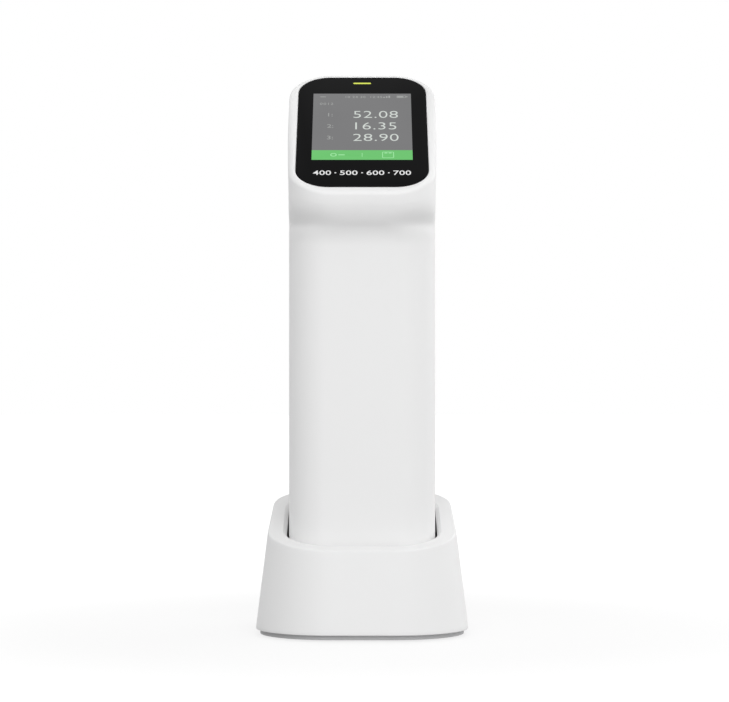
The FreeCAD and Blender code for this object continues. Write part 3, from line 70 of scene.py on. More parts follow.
# %% Grid helpers
def grid_faces(rows, columns, wrap_rows=False, wrap_columns=False, start=0):
    """Quads of a grid: point (row, column) joins (row, column + 1) and the two over them."""
    index = np.arange(rows * columns).reshape(rows, columns) + start
    if wrap_rows:
        index = np.vstack([index, index[:1]])
    if wrap_columns:
        index = np.hstack([index, index[:, :1]])
    corners = [index[:-1, :-1], index[:-1, 1:], index[1:, 1:], index[1:, :-1]]
    return np.stack(corners, axis=-1).reshape(-1, 4)


def add_piece(name, points, faces, smooth=True):
    """A mesh object from points in millimetres: doubles are merged and faces turned outwards."""
    mesh = bpy.data.meshes.new(name)
    mesh.from_pydata((np.asarray(points).reshape(-1, 3) * MM).tolist(), [],
                     [list(face) for face in faces])
    shell = bmesh.new()
    shell.from_mesh(mesh)
    bmesh.ops.remove_doubles(shell, verts=shell.verts, dist=2e-6)
    bmesh.ops.recalc_face_normals(shell, faces=shell.faces)
    shell.to_mesh(mesh)
    shell.free()
    mesh.polygons.foreach_set("use_smooth", np.full(len(mesh.polygons), smooth))
    piece = bpy.data.objects.new(name, mesh)
    bpy.context.scene.collection.objects.link(piece)
    return piece


def stacked(*coordinates):
    """Coordinate arrays, spread over each other, as one array of points."""
    return np.stack(np.broadcast_arrays(*coordinates), axis=-1)


def soft_edges(piece, width, angle=35.0):
    """Rounds every edge sharper than an angle, and keeps the faces beside it flat in shading."""
    bevel = piece.modifiers.new("soft_edges", "BEVEL")
    bevel.width = width * MM
    bevel.segments = 3
    bevel.limit_method = "ANGLE"
    bevel.angle_limit = np.radians(angle)
    bevel.harden_normals = True
    return piece


def carve(piece, cutter):
    """Cuts another closed mesh out of a piece and deletes the cutter."""
    cut = piece.modifiers.new("carve", "BOOLEAN")
    cut.operation = "DIFFERENCE"
    cut.solver = "EXACT"
    cut.object = cutter
    bpy.context.view_layer.update()
    evaluated = piece.evaluated_get(bpy.context.evaluated_depsgraph_get())
    carved = bpy.data.meshes.new_from_object(evaluated)
    piece.modifiers.remove(cut)
    piece.data = carved
    bpy.data.objects.remove(cutter)
    return piece


# %% [markdown]
# ## The rounded rectangle behind every section
#
# Dock, column, head, glass and buttons all have a rounded rectangle as their section. A point on
# it is a weighted mix of the same few sizes (half width, front, rear and the corner radii), so
# one table of weights serves them all, and points with the same column number always face each
# other. That is what lets a skin run from the round body over its edge to the glass.

# %% Outline table
def half_ring(side, corner, flat):
    """Weights for the front half: left side, corner, front, corner, right side.

    Rows are: share of the half width's straight part, cosine, share of the front's corner centre,
    and sine. The rest of the depth's share belongs to the seam line on the sides.
    """
    run = np.linspace(0.0, 1.0, side + 1)[:-1]
    turn = np.linspace(np.pi, 1.5 * np.pi, corner + 1)
    across = np.linspace(-1.0, 1.0, flat + 1)[1:-1]
    left = np.array([-np.ones_like(run), -np.ones_like(run), run, np.zeros_like(run)])
    bend = np.array([-np.ones_like(turn), np.cos(turn), np.ones_like(turn), np.sin(turn)])
    front = np.array([across, np.zeros_like(across), np.ones_like(across), -np.ones_like(across)])
    mirror = np.array([[-1.0], [-1.0], [1.0], [1.0]])
    return np.hstack([left, bend, front, (bend * mirror)[:, ::-1], (left * mirror)[:, ::-1]])


FRONT_HALF = half_ring(side=8, corner=16, flat=10)
REAR_HALF = FRONT_HALF * np.array([[-1.0], [-1.0], [1.0], [-1.0]])
FULL_RING = np.hstack([FRONT_HALF[:, :-1], REAR_HALF[:, :-1]])


def outline_points(table, half, front, rear, front_radius, rear_radius, seam=0.0):
    """Point = straight share of each size + radius times (cosine, sine) of the corner's angle."""
    across, cosine, reach, sine = table
    ahead = np.arange(table.shape[1]) < FRONT_HALF.shape[1] - (table is FULL_RING)
    ahead = ahead if table is not REAR_HALF else np.zeros_like(ahead)
    radius = np.where(ahead, front_radius, rear_radius)
    centre = np.where(ahead, front + radius, rear - radius)
    x = across * (half - radius) + cosine * radius
    y = reach * centre + (1.0 - reach) * seam + sine * radius
    return x, y


print("points round a section:", FULL_RING.shape[1])

# %% [markdown]
# ## Camera
#
# The photograph was taken level, from far enough away to keep the column's sides almost
# parallel. A long lens at 0.9 m, half way up the object, gives the same slight convergence.

# %% Camera
SENSOR_WIDTH = 36.0
FOCAL_PIXELS = 2646.0
PICTURE_WIDTH = 729
camera_data = bpy.data.cameras.new("camera")
camera_data.sensor_width = SENSOR_WIDTH
camera_data.lens = FOCAL_PIXELS / PICTURE_WIDTH * SENSOR_WIDTH
camera = bpy.data.objects.new("camera", camera_data)
camera.location = (0.0008, -0.903, 0.09535)
camera.rotation_euler = (np.radians(90.0), 0.0, 0.0)
bpy.context.scene.collection.objects.link(camera)
bpy.context.scene.camera = camera
bpy.context.scene.view_settings.view_transform = "Standard"
print("focal length:", round(camera_data.lens, 2), "mm")

# %% [markdown]
# ## Studio
#
# White on white only reads through its shading, so the light must not come evenly from
# everywhere. A large soft lamp on the right and a weaker one above model the column, and the
# left side falls off to grey. The background is white for the camera alone: the world and the
# floor add that white only to camera, glossy and transmission rays, so no extra light is needed.
# The floor looks darker to the camera than to the light, which keeps its shadows shallow.

# %% World, floor and lamps
def seen_directly(tree):
    """1 for rays of the camera, of reflections and through glass; 0 for rays that light."""
    path = tree.nodes.new("ShaderNodeLightPath")
    total = None
    for ray in ("Is Camera Ray", "Is Glossy Ray", "Is Transmission Ray"):
        if total is None:
            total = path.outputs[ray]
            continue
        add = tree.nodes.new("ShaderNodeMath")
        add.operation = "ADD"
        add.use_clamp = True
        tree.links.new(total, add.inputs[0])
        tree.links.new(path.outputs[ray], add.inputs[1])
        total = add.outputs["Value"]
    return total


LEFT_LIGHT, RIGHT_LIGHT = 0.335, 0.65
world = bpy.data.worlds.new("studio")
bpy.context.scene.world = world
world.use_nodes = True
tree = world.node_tree
background = tree.nodes["Background"]
background.inputs["Color"].default_value = (1.0, 1.0, 1.0, 1.0)
heading = tree.nodes.new("ShaderNodeTexCoord")
parts = tree.nodes.new("ShaderNodeSeparateXYZ")
side_light = tree.nodes.new("ShaderNodeMapRange")
side_light.inputs["From Min"].default_value = -1.0
side_light.inputs["To Min"].default_value = LEFT_LIGHT
side_light.inputs["To Max"].default_value = RIGHT_LIGHT
strength = tree.nodes.new("ShaderNodeMix")
strength.inputs["B"].default_value = 1.0
tree.links.new(heading.outputs["Generated"], parts.inputs["Vector"])
tree.links.new(parts.outputs["X"], side_light.inputs["Value"])
tree.links.new(side_light.outputs["Result"], strength.inputs["A"])
tree.links.new(seen_directly(tree), strength.inputs["Factor"])
tree.links.new(strength.outputs["Result"], background.inputs["Strength"])

FLOOR_SIZE = 6000.0
half_floor = FLOOR_SIZE / 2
floor = add_piece("floor", [(-half_floor, -half_floor, 0), (half_floor, -half_floor, 0),
                            (half_floor, half_floor, 0), (-half_floor, half_floor, 0)],
                  [(0, 1, 2, 3)], smooth=False)
floor_paint = bpy.data.materials.new("floor_paint")
floor_paint.use_nodes = True
tree = floor_paint.node_tree
paint = tree.nodes["Principled BSDF"]
paint.inputs["Roughness"].default_value = 0.9
paint.inputs["Specular IOR Level"].default_value = 0.1
paint.inputs["Emission Color"].default_value = (1.0, 1.0, 1.0, 1.0)
NEAR_GLOW, FAR_GLOW = 0.80, 1.0
SEEN_GREY, LIGHTING_GREY = 0.16, 0.6
ground = tree.nodes.new("ShaderNodeTexCoord")
distance = tree.nodes.new("ShaderNodeVectorMath")
distance.operation = "LENGTH"
spread = tree.nodes.new("ShaderNodeMapRange")
spread.interpolation_type = "SMOOTHSTEP"
spread.inputs["From Min"].default_value = 0.08
spread.inputs["From Max"].default_value = 0.32
spread.inputs["To Min"].default_value = NEAR_GLOW
spread.inputs["To Max"].default_value = FAR_GLOW
floor_glow = tree.nodes.new("ShaderNodeMath")
floor_glow.operation = "MULTIPLY"
grey = tree.nodes.new("ShaderNodeMapRange")
grey.inputs["To Min"].default_value = LIGHTING_GREY
grey.inputs["To Max"].default_value = SEEN_GREY
tree.links.new(seen_directly(tree), grey.inputs["Value"])
tree.links.new(grey.outputs["Result"], paint.inputs["Base Color"])
tree.links.new(ground.outputs["Object"], distance.inputs[0])
tree.links.new(distance.outputs["Value"], spread.inputs["Value"])
tree.links.new(seen_directly(tree), floor_glow.inputs[0])
tree.links.new(spread.outputs["Result"], floor_glow.inputs[1])
tree.links.new(floor_glow.outputs["Value"], paint.inputs["Emission Strength"])
floor.data.materials.append(floor_paint)


def soft_lamp(name, place, aim, width, height, power):
    """A rectangular lamp at a place in metres, turned to face an aim point."""
    data = bpy.data.lights.new(name, "AREA")
    data.shape = "RECTANGLE"
    data.size = width
    data.size_y = height
    data.energy = power
    lamp = bpy.data.objects.new(name, data)
    lamp.location = place
    away = np.array(place) - np.array(aim)
    flat = np.hypot(away[0], away[1])
    lamp.rotation_euler = (np.arctan2(flat, away[2]), 0.0, np.arctan2(away[0], -away[1]))
    bpy.context.scene.collection.objects.link(lamp)
    return lamp


soft_lamp("front_lamp", (0.1, -1.25, 0.55), (0.0, 0.0, 0.1), 0.9, 0.7, 7.1)
soft_lamp("top_lamp", (-0.1, -0.35, 1.2), (0.0, 0.0, 0.1), 0.8, 0.8, 2.6)
soft_lamp("right_rim_lamp", (1.15, 0.75, 0.35), (0.0, 0.0, 0.1), 1.3, 1.3, 7.5)
soft_lamp("left_rim_lamp", (-1.1, 0.8, 0.35), (0.0, 0.0, 0.1), 1.2, 1.2, 3.0)
print("lamps:", [light.name for light in bpy.data.lights])

# %% [markdown]
# ## Finishes
#
# Nearly everything here is moulded, so the finishes share two node groups, each built once: one
# for the spark-eroded grain of an injection mould, one for fine streaks of brushed or plated
# metal. Both add the slow unevenness that keeps a large plain skin from looking painted flat. The
# groups only put out colours, roughness and heights; each material keeps its own shader.

# %% Shader groups
def new_group(name, inputs, outputs):
    """An empty shader group with named sockets: inputs hold (name, kind, value)."""
    group = bpy.data.node_groups.new(name, "ShaderNodeTree")
    for label, kind, value in inputs:
        socket = group.interface.new_socket(label, in_out="INPUT", socket_type=kind)
        if value is not None:
            socket.default_value = value
    for label, kind in outputs:
        group.interface.new_socket(label, in_out="OUTPUT", socket_type=kind)
    return group, group.nodes.new("NodeGroupInput"), group.nodes.new("NodeGroupOutput")


FLOAT = "NodeSocketFloat"
COLOR = "NodeSocketColor"
VECTOR = "NodeSocketVector"


def link_chain(group, *pairs):
    """Joins output and input sockets pair by pair."""
    for source, target in pairs:
        group.links.new(source, target)


def surface_group(name, stretch):
    """Noise at two sizes over a base colour.

    colour = base times (1 - tint * slow noise); roughness = base + spread * (slow - 0.5);
    height = fine noise * depth. A stretch other than 1 draws the fine noise out into streaks.
    """
    group, source, sink = new_group(name, [
        ("Vector", VECTOR, None), ("Base", COLOR, (0.8, 0.8, 0.8, 1.0)), ("Grain", FLOAT, 3000.0),
        ("Patch", FLOAT, 40.0), ("Tint", FLOAT, 0.03), ("Roughness", FLOAT, 0.5),
        ("Spread", FLOAT, 0.08)], [("Color", COLOR), ("Roughness", FLOAT), ("Height", FLOAT)])
    fine_place = group.nodes.new("ShaderNodeMapping")
    fine_place.inputs["Scale"].default_value = (1.0, 1.0, stretch)
    fine = group.nodes.new("ShaderNodeTexNoise")
    fine.inputs["Detail"].default_value = 3.0
    slow = group.nodes.new("ShaderNodeTexNoise")
    slow.inputs["Detail"].default_value = 4.0
    shade = group.nodes.new("ShaderNodeMath")
    shade.operation = "MULTIPLY"
    paler = group.nodes.new("ShaderNodeMath")
    paler.operation = "SUBTRACT"
    paler.inputs[0].default_value = 1.0
    tinted = group.nodes.new("ShaderNodeVectorMath")
    tinted.operation = "SCALE"
    centred = group.nodes.new("ShaderNodeMath")
    centred.operation = "SUBTRACT"
    centred.inputs[1].default_value = 0.5
    rough = group.nodes.new("ShaderNodeMath")
    rough.operation = "MULTIPLY_ADD"
    link_chain(
        group,
        (source.outputs["Vector"], fine_place.inputs["Vector"]),
        (fine_place.outputs["Vector"], fine.inputs["Vector"]),
        (source.outputs["Grain"], fine.inputs["Scale"]),
        (source.outputs["Vector"], slow.inputs["Vector"]),
        (source.outputs["Patch"], slow.inputs["Scale"]),
        (slow.outputs["Fac"], shade.inputs[0]), (source.outputs["Tint"], shade.inputs[1]),
        (shade.outputs["Value"], paler.inputs[1]),
        (source.outputs["Base"], tinted.inputs[0]), (paler.outputs["Value"], tinted.inputs["Scale"]),
        (tinted.outputs["Vector"], sink.inputs["Color"]),
        (slow.outputs["Fac"], centred.inputs[0]),
        (centred.outputs["Value"], rough.inputs[0]), (source.outputs["Spread"], rough.inputs[1]),
        (source.outputs["Roughness"], rough.inputs[2]), (rough.outputs["Value"], sink.inputs["Roughness"]),
        (fine.outputs["Fac"], sink.inputs["Height"]))
    return group


MOULDED = surface_group("moulded_surface", stretch=1.0)
STREAKED = surface_group("streaked_metal", stretch=0.04)
print("shader groups:", MOULDED.name, STREAKED.name)

# %% Material helper
def linear(red, green, blue):
    """Colour as a paint chart gives it (0 to 255), turned into the shader's linear light."""
    share = np.array([red, green, blue]) / 255.0
    low = share / 12.92
    high = ((share + 0.055) / 1.055) ** 2.4
    return (*np.where(share <= 0.04045, low, high).tolist(), 1.0)


def finish(name, color, group=MOULDED, grain=3000.0, patch=40.0, tint=0.03, roughness=0.5,
           spread=0.08, depth=0.01, **constants):
    """A material from one surface group; constants are plain values of the shader's own sockets."""
    material = bpy.data.materials.new(name)
    material.use_nodes = True
    tree = material.node_tree
    shader = tree.nodes["Principled BSDF"]
    place = tree.nodes.new("ShaderNodeTexCoord")
    surface = tree.nodes.new("ShaderNodeGroup")
    surface.node_tree = group
    surface.inputs["Base"].default_value = color
    for label, value in (("Grain", grain), ("Patch", patch), ("Tint", tint),
                         ("Roughness", roughness), ("Spread", spread)):
        surface.inputs[label].default_value = value
    bump = tree.nodes.new("ShaderNodeBump")
    bump.inputs["Distance"].default_value = depth * MM
    bump.inputs["Strength"].default_value = 1.0
    tree.links.new(place.outputs["Object"], surface.inputs["Vector"])
    tree.links.new(surface.outputs["Color"], shader.inputs["Base Color"])
    tree.links.new(surface.outputs["Roughness"], shader.inputs["Roughness"])
    tree.links.new(surface.outputs["Height"], bump.inputs["Height"])
    tree.links.new(bump.outputs["Normal"], shader.inputs["Normal"])
    for label, value in constants.items():
        shader.inputs[label.replace("_", " ")].default_value = value
    return material


# %% [markdown]
# ### One finish for each kind of material
#
# The white skin is a satin ABS moulding. Its grain is so fine (about a fifth of a millimetre)
# that from a step away it only softens the highlights. The liner and base are plain textured
# mouldings, with the base's own grey darkened further by painted shade of the gap under the
# shell. The feet are speckled rubber, and screws and contacts are plated metal with streaks.

# %% Finishes of the record's slots
FINISHES = {
    "white_plastic": finish("white_plastic", linear(240, 240, 240), grain=4500.0, patch=30.0,
                            tint=0.012, roughness=0.5, spread=0.05, depth=0.004,
                            Specular_IOR_Level=0.3),
    "liner_plastic": finish("liner_plastic", linear(221, 221, 222), grain=2500.0, tint=0.04,
                            roughness=0.6, depth=0.02),
    # grey base plate: its own grey, darkened further with painted shade of the shadow gap under the dock shell
    "base_plastic": finish("base_plastic", linear(182, 182, 183), grain=2200.0, tint=0.06,
                           roughness=0.6, depth=0.02),
    "button_plastic": finish("button_plastic", linear(196, 198, 200), grain=4500.0, tint=0.03,
                             roughness=0.36, depth=0.005),
    "black_plastic": finish("black_plastic", linear(38, 38, 40), grain=2500.0, tint=0.1,
                            roughness=0.55, depth=0.015),
    "frame_plastic": finish("frame_plastic", linear(95, 97, 99), grain=1800.0, tint=0.15,
                            roughness=0.62, depth=0.02),
    "rubber": finish("rubber", linear(58, 58, 60), grain=1500.0, tint=0.2, roughness=0.8,
                     depth=0.03),
    "foam": finish("foam", linear(70, 70, 72), grain=900.0, tint=0.3, roughness=0.95, depth=0.15),
    "steel": finish("steel", linear(200, 200, 204), STREAKED, grain=3000.0, tint=0.08,
                    roughness=0.3, spread=0.12, depth=0.004, Metallic=1.0),
    "gold": finish("gold", linear(232, 196, 116), STREAKED, grain=3000.0, tint=0.05,
                   roughness=0.22, depth=0.003, Metallic=1.0),
    "aluminium": finish("aluminium", linear(62, 62, 65), STREAKED, grain=3000.0, tint=0.1,
                        roughness=0.4, depth=0.004, Metallic=0.9),
    "board": finish("board", linear(28, 98, 62), grain=1200.0, patch=260.0, tint=0.45,
                    roughness=0.34, depth=0.02),
    "chip": finish("chip", linear(40, 40, 43), grain=2600.0, tint=0.15, roughness=0.5, depth=0.01),
    "ceramic": finish("ceramic", linear(247, 247, 245), grain=900.0, tint=0.01, roughness=0.12,
                      spread=0.03, depth=0.002, Coat_Weight=0.6),
    "sphere_white": finish("sphere_white", linear(250, 250, 249), grain=3500.0, tint=0.01,
                           roughness=0.95, depth=0.01),
    "battery_wrap": finish("battery_wrap", linear(56, 112, 178), grain=600.0, patch=90.0, tint=0.1,
                           roughness=0.25, depth=0.04),
    "black_glass": finish("black_glass", linear(6, 6, 7), grain=200.0, patch=20.0, tint=0.05,
                          roughness=0.3, spread=0.02, depth=0.0004, Specular_IOR_Level=0.0,
                          Coat_Weight=0.12, Coat_Roughness=0.03),
    "optical_glass": finish("optical_glass", linear(225, 235, 238), grain=300.0, tint=0.01,
                            roughness=0.03, spread=0.01, depth=0.0002, Transmission_Weight=0.9),
    "display": finish("display", linear(110, 110, 110), grain=800.0, tint=0.05, roughness=0.2,
                      depth=0.002),
    "light_guide": finish("light_guide", linear(226, 236, 140), grain=900.0, tint=0.05,
                          roughness=0.2, depth=0.003, Emission_Color=linear(215, 225, 90),
                          Emission_Strength=0.6),
    "flex": finish("flex", linear(196, 130, 50), STREAKED, grain=900.0, patch=120.0, tint=0.25,
                   roughness=0.3, depth=0.01),
}

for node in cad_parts.values():
    slots = node.data.materials
    for index, material in enumerate(slots):
        slots[index] = FINISHES[material.name.split(".")[0]] if material else slots[index]
print("finishes:", len(FINISHES))


def dress(piece, slot, body, *nodes):
    """Gives a new piece the finish of a slot unless it has one, puts it on its body and hides the CAD nodes
    that it stands for.
    """
    if not piece.data.materials:
        piece.data.materials.append(FINISHES[slot])
    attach(piece, body)
    if nodes:
        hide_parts(*nodes)
    return piece


# %% [markdown]
# ## Sections that meet a slanted plane
#
# The dock's rim and the instrument's display are both slanted, while the bodies under them are
# upright. A row of the skin is therefore the line where the body meets the plane
# z = level + slope * y. The body's own depth changes with height, so z is found by halving an
# interval for every point of the row at once, which is quick and never misses.

# %% Rows of a leaning body
def plane_rows(section, table, levels, slopes, low, high):
    """Points where a body's skin meets planes z = level + slope * y, by repeated halving.

    section(z) gives half width, front, rear, front radius, rear radius and seam at height z.
    """
    level = np.asarray(levels, dtype=float)[:, None]
    slope = np.asarray(slopes, dtype=float)[:, None]
    under = np.full((level.size, table.shape[1]), float(low))
    over = np.full_like(under, float(high))
    for _ in range(48):
        middle = (under + over) / 2
        _, y = outline_points(table, *section(middle))
        above = middle - level - slope * y > 0
        over = np.where(above, middle, over)
        under = np.where(above, under, middle)
    z = (under + over) / 2
    x, y = outline_points(table, *section(z))
    return stacked(x, y, z)


def unit(rows):
    return rows / np.linalg.norm(rows, axis=-1, keepdims=True)


def rounded_edge(before, corner, after, radius, steps):
    """Rows of a circular arc that rounds a corner row, between the rows on both sides of it.

    The arc touches both walls at radius / tan(half their angle) from the corner. As a rational
    quadratic curve it gives the corner the weight sin(half their angle).
    """
    back, onward = unit(before - corner), unit(after - corner)
    half = np.arccos((back * onward).sum(axis=-1, keepdims=True)) / 2
    reach = radius / np.tan(half)
    share = np.linspace(0.0, 1.0, steps + 1)[:, None, None]
    first, middle, last = (1 - share) ** 2, 2 * share * (1 - share) * np.sin(half), share ** 2
    curve = first * (corner + back * reach) + middle * corner + last * (corner + onward * reach)
    return curve / (first + middle + last)


def smooth_step(value, low, high):
    """0 under the low end, 1 over the high end, and share^2 * (3 - 2 * share) between them."""
    share = np.clip((value - low) / (high - low), 0.0, 1.0)
    return share ** 2 * (3 - 2 * share)


# %% [markdown]
# ## Dock shell
#
# The dock is one injection moulding: walls that draw in by 7 degrees towards the top, as a mould
# needs, and a flat rim that slopes down to the front. A sloped lip inside the rim guides the
# instrument in. One closed grid makes it all. Its columns run round the dock; its rows climb the
# outer wall, turn over the rim, go down the lip and come back down inside the wall.

# %% Dock shell
SHELL_LOW = 2.1
RIM_LEVEL = 38.3
RIM_SLOPE = np.tan(np.radians(14.0))
RIM_THICKNESS = 2.2
DOCK_WALL = 2.0
DRAFT = np.tan(np.radians(7.07))
DOCK_HALF_WIDTH = 35.75
DOCK_HALF_DEPTH = 37.65
DOCK_FRONT_RADIUS = 25.4
DOCK_REAR_RADIUS = 20.8
SOCKET_HALF, SOCKET_FRONT, SOCKET_REAR, SOCKET_RADIUS = 26.6, -29.4, 27.4, 16.5
MOUTH_LIP = 1.3


def dock_section(inset):
    """Outline of the dock at a height: it draws in by the draft, and by an inset for the wall."""
    def section(z):
        shift = (z - SHELL_LOW) * DRAFT + inset
        return (DOCK_HALF_WIDTH - shift, shift - DOCK_HALF_DEPTH, DOCK_HALF_DEPTH - shift,
                DOCK_FRONT_RADIUS - shift, DOCK_REAR_RADIUS - shift)
    return section


def socket_row(drop, inset):
    """The socket's outline, drawn in by an inset, as a row at a distance under the rim plane."""
    x, y = outline_points(FULL_RING, SOCKET_HALF - inset, SOCKET_FRONT + inset, SOCKET_REAR - inset,
                          SOCKET_RADIUS - inset, SOCKET_RADIUS - inset)
    return stacked(x, y, RIM_LEVEL - drop + RIM_SLOPE * y)


def dock_rows(inset, shares):
    """Rows of a dock wall from the flat lower edge up to the rim plane."""
    shares = np.asarray(shares)
    levels = SHELL_LOW + shares * (RIM_LEVEL - SHELL_LOW)
    return plane_rows(dock_section(inset), FULL_RING, levels, shares * RIM_SLOPE, -20.0, 90.0)


RIM_ROUND = 0.7
LOWER_ROUND = 0.35
MOUTH_ROUND = 0.3
lower, brim = dock_rows(0.0, [0.0, 1.0])
mouth = socket_row(0.0, 0.0)
lip = socket_row(MOUTH_LIP, MOUTH_LIP)
under_lip = socket_row(RIM_THICKNESS, MOUTH_LIP)
tuck = dock_rows(DOCK_WALL, [0.0])[0]
rows = [
    rounded_edge(tuck, lower, brim, LOWER_ROUND, 3),
    dock_rows(0.0, np.linspace(0.05, 0.94, 14)),
    rounded_edge(lower, brim, mouth, RIM_ROUND, 7),
    rounded_edge(brim, mouth, lip, MOUTH_ROUND, 4),
    rounded_edge(mouth, lip, under_lip, MOUTH_ROUND, 4),
    under_lip[None],
]
under_rim = plane_rows(dock_section(DOCK_WALL), FULL_RING, [RIM_LEVEL - RIM_THICKNESS],
                       [RIM_SLOPE], -20.0, 90.0)
inner_shares = np.linspace(0.9, 0.0, 8)
rows += [under_rim, dock_rows(DOCK_WALL, inner_shares)]
shell_points = np.concatenate(rows)
dock_shell = add_piece("dock_skin", shell_points,
                       grid_faces(*shell_points.shape[:2], wrap_rows=True, wrap_columns=True))


def box_cutter(name, low, high):
    """A closed box between two corners, used only to cut."""
    corners = np.array(np.meshgrid(*zip(low, high), indexing="ij")).reshape(3, -1).T
    faces = [(0, 1, 3, 2), (4, 6, 7, 5), (0, 4, 5, 1), (2, 3, 7, 6), (0, 2, 6, 4), (1, 5, 7, 3)]
    return add_piece(name, corners, faces, smooth=False)


carve(dock_shell, box_cutter("inlet_cutter", (-4.8, 31.0, 4.3), (4.8, 42.0, 8.1)))
dress(dock_shell, "white_plastic", "dock", "dock_shell")
print("dock skin:", len(dock_shell.data.polygons), "faces")

# %% [markdown]
# ## Housing
#
# The column's front is flat and upright. Below the display it turns out through a hollow arc and
# back up through a round chin, so the head overhangs the fingers. The back leans out gently. All
# of it is one formula of height, and both halves of the housing come from it, so they meet along
# their seam: straight up the sides, then parallel to the display round the back.

# %% Housing formula
COLUMN_HALF_WIDTH, HEAD_HALF_WIDTH = 24.5, 25.3
COLUMN_RADIUS, HEAD_RADIUS = 12.4, 14.2
COLUMN_FRONT, COLUMN_REAR = -27.4, 25.4
CHIN_REACH, NAPE_REACH = 8.6, 5.6
CHIN_HEIGHT, CHIN_ROUND, CREASE_ROUND = 147.0, 12.0, 8.0
CHIN_CORNER = 5.0
NAPE_LOW, NAPE_HIGH = 130.0, 172.0
HOUSING_LOW = 17.0
PANEL_LEVEL = 172.2
PANEL_ANGLE = np.radians(34.7)
PANEL_SIN, PANEL_COS, PANEL_SLOPE = np.sin(PANEL_ANGLE), np.cos(PANEL_ANGLE), np.tan(PANEL_ANGLE)
SEAM_Y = 4.0
SEAM_DROP = 11.0
SEAM_GAP = 0.18
HOUSING_WALL = 2.0


def overhang(z):
    """How far the front stands out at a height.

    Hollow arc: out = R - sqrt(R^2 - rise^2) above the crease's start. Round chin:
    out = reach - (r - sqrt(r^2 - fall^2)) under the chin's top. They share a tangent where they meet.
    """
    turn = np.arccos(1 - CHIN_REACH / (CHIN_ROUND + CREASE_ROUND))
    start = CHIN_HEIGHT - (CHIN_ROUND + CREASE_ROUND) * np.sin(turn)
    change = CHIN_HEIGHT - CHIN_ROUND * np.sin(turn)
    rise = np.clip(z - start, 0.0, change - start)
    fall = np.clip(CHIN_HEIGHT - z, 0.0, CHIN_HEIGHT - change)
    hollow = CREASE_ROUND - np.sqrt(CREASE_ROUND ** 2 - rise ** 2)
    chin = CHIN_REACH - CHIN_ROUND + np.sqrt(CHIN_ROUND ** 2 - fall ** 2)
    return np.where(z < change, hollow, chin)


def housing_section(inset, seam):
    """Outline of the housing at a height, drawn in by an inset, with its seam line on the sides."""
    def section(z):
        out = overhang(z)
        share = out / CHIN_REACH
        widened = (HEAD_HALF_WIDTH - COLUMN_HALF_WIDTH) * smooth_step(z, CHIN_HEIGHT, NAPE_HIGH)
        half = COLUMN_HALF_WIDTH + widened - inset
        bowl = np.sin(np.pi * share) ** 2
        radius = COLUMN_RADIUS + (HEAD_RADIUS - COLUMN_RADIUS) * share + CHIN_CORNER * bowl - inset
        rear = COLUMN_REAR + NAPE_REACH * smooth_step(z, NAPE_LOW, NAPE_HIGH) - inset
        return half, COLUMN_FRONT - out + inset, rear, radius, radius - CHIN_CORNER * bowl, seam
    return section


def panel_points(x, along, out):
    """Points given on the display plane: across, up the slope and out of it, in millimetres."""
    y = along * PANEL_COS - out * PANEL_SIN
    z = PANEL_LEVEL + along * PANEL_SIN + out * PANEL_COS
    return stacked(x, y, z)


def panel_level(drop):
    """Level of the plane that lies a distance under the display plane."""
    return PANEL_LEVEL - drop / PANEL_COS


def body_rows(table, inset, seam, levels, slopes):
    return plane_rows(housing_section(inset, seam), table, levels, slopes, -60.0, 260.0)


def glass_row(table, grow, out, seam=SEAM_Y):
    """The glass's outline, grown by a margin, at a height over the display plane."""
    x, along = outline_points(table, 22.1 + grow, -40.1 - grow, 34.1 + grow, 11.0 + grow,
                              11.0 + grow, seam / PANEL_COS)
    return panel_points(x, along, out)


# %% [markdown]
# ### Front housing
#
# The front half carries the whole head, so it is made of two grids that share the line where the
# side seam turns back: the front of the column with the head over it, and the head's rear band.
# Each grid climbs the outside, rounds over on to the display plane, steps down into the recess
# of the glass and returns inside. The edge round the display has one radius all the way. It looks
# wider at the back, where the plane and the wall meet at an acute angle.

# %% Front housing
LEDGE_UNDER = 3.9
RECESS = 1.9
EDGE_ROUND = 1.6
fan_share = np.linspace(0.0, 1.0, 34)
fan_levels = 108.0 + fan_share * (panel_level(SEAM_DROP) - 108.0)
STRAIGHT_LEVELS = np.array([17.0, 17.6, 30.0, 45.0, 60.0, 75.0, 92.0])


def head_rows(table):
    """Outer rows from the seam's plane up over the edge, down the recess and back inside."""
    levels = panel_level(np.linspace(SEAM_DROP, 3.4, 30))
    slopes = np.full(levels.size, PANEL_SLOPE)
    sides = body_rows(table, 0.0, SEAM_Y, levels, slopes)
    corner = body_rows(table, 0.0, SEAM_Y, [PANEL_LEVEL], [PANEL_SLOPE])[0]
    below = body_rows(table, 0.0, SEAM_Y, [panel_level(2.0)], [PANEL_SLOPE])[0]
    edge = rounded_edge(below, corner, glass_row(table, 0.12, 0.0), EDGE_ROUND, 9)
    lip = glass_row(table, 0.3, 0.0)
    recess = [lip, glass_row(table, 0.12, -0.18), glass_row(table, 0.12, -RECESS),
              glass_row(table, -2.0, -RECESS), glass_row(table, -2.0, -LEDGE_UNDER)]
    inner = body_rows(table, HOUSING_WALL, SEAM_Y, panel_level(np.linspace(LEDGE_UNDER, SEAM_DROP, 8)),
                      np.full(8, PANEL_SLOPE))
    return np.concatenate([sides, edge, np.array(recess), inner])


def column_rows(table, inset):
    """Rows from the housing's foot up to just under the seam's plane, flat rows fanning out."""
    levels = np.concatenate([STRAIGHT_LEVELS, fan_levels[:-1]])
    slopes = np.concatenate([STRAIGHT_LEVELS * 0.0, fan_share[:-1] * PANEL_SLOPE])
    return body_rows(table, inset, SEAM_Y, levels, slopes)


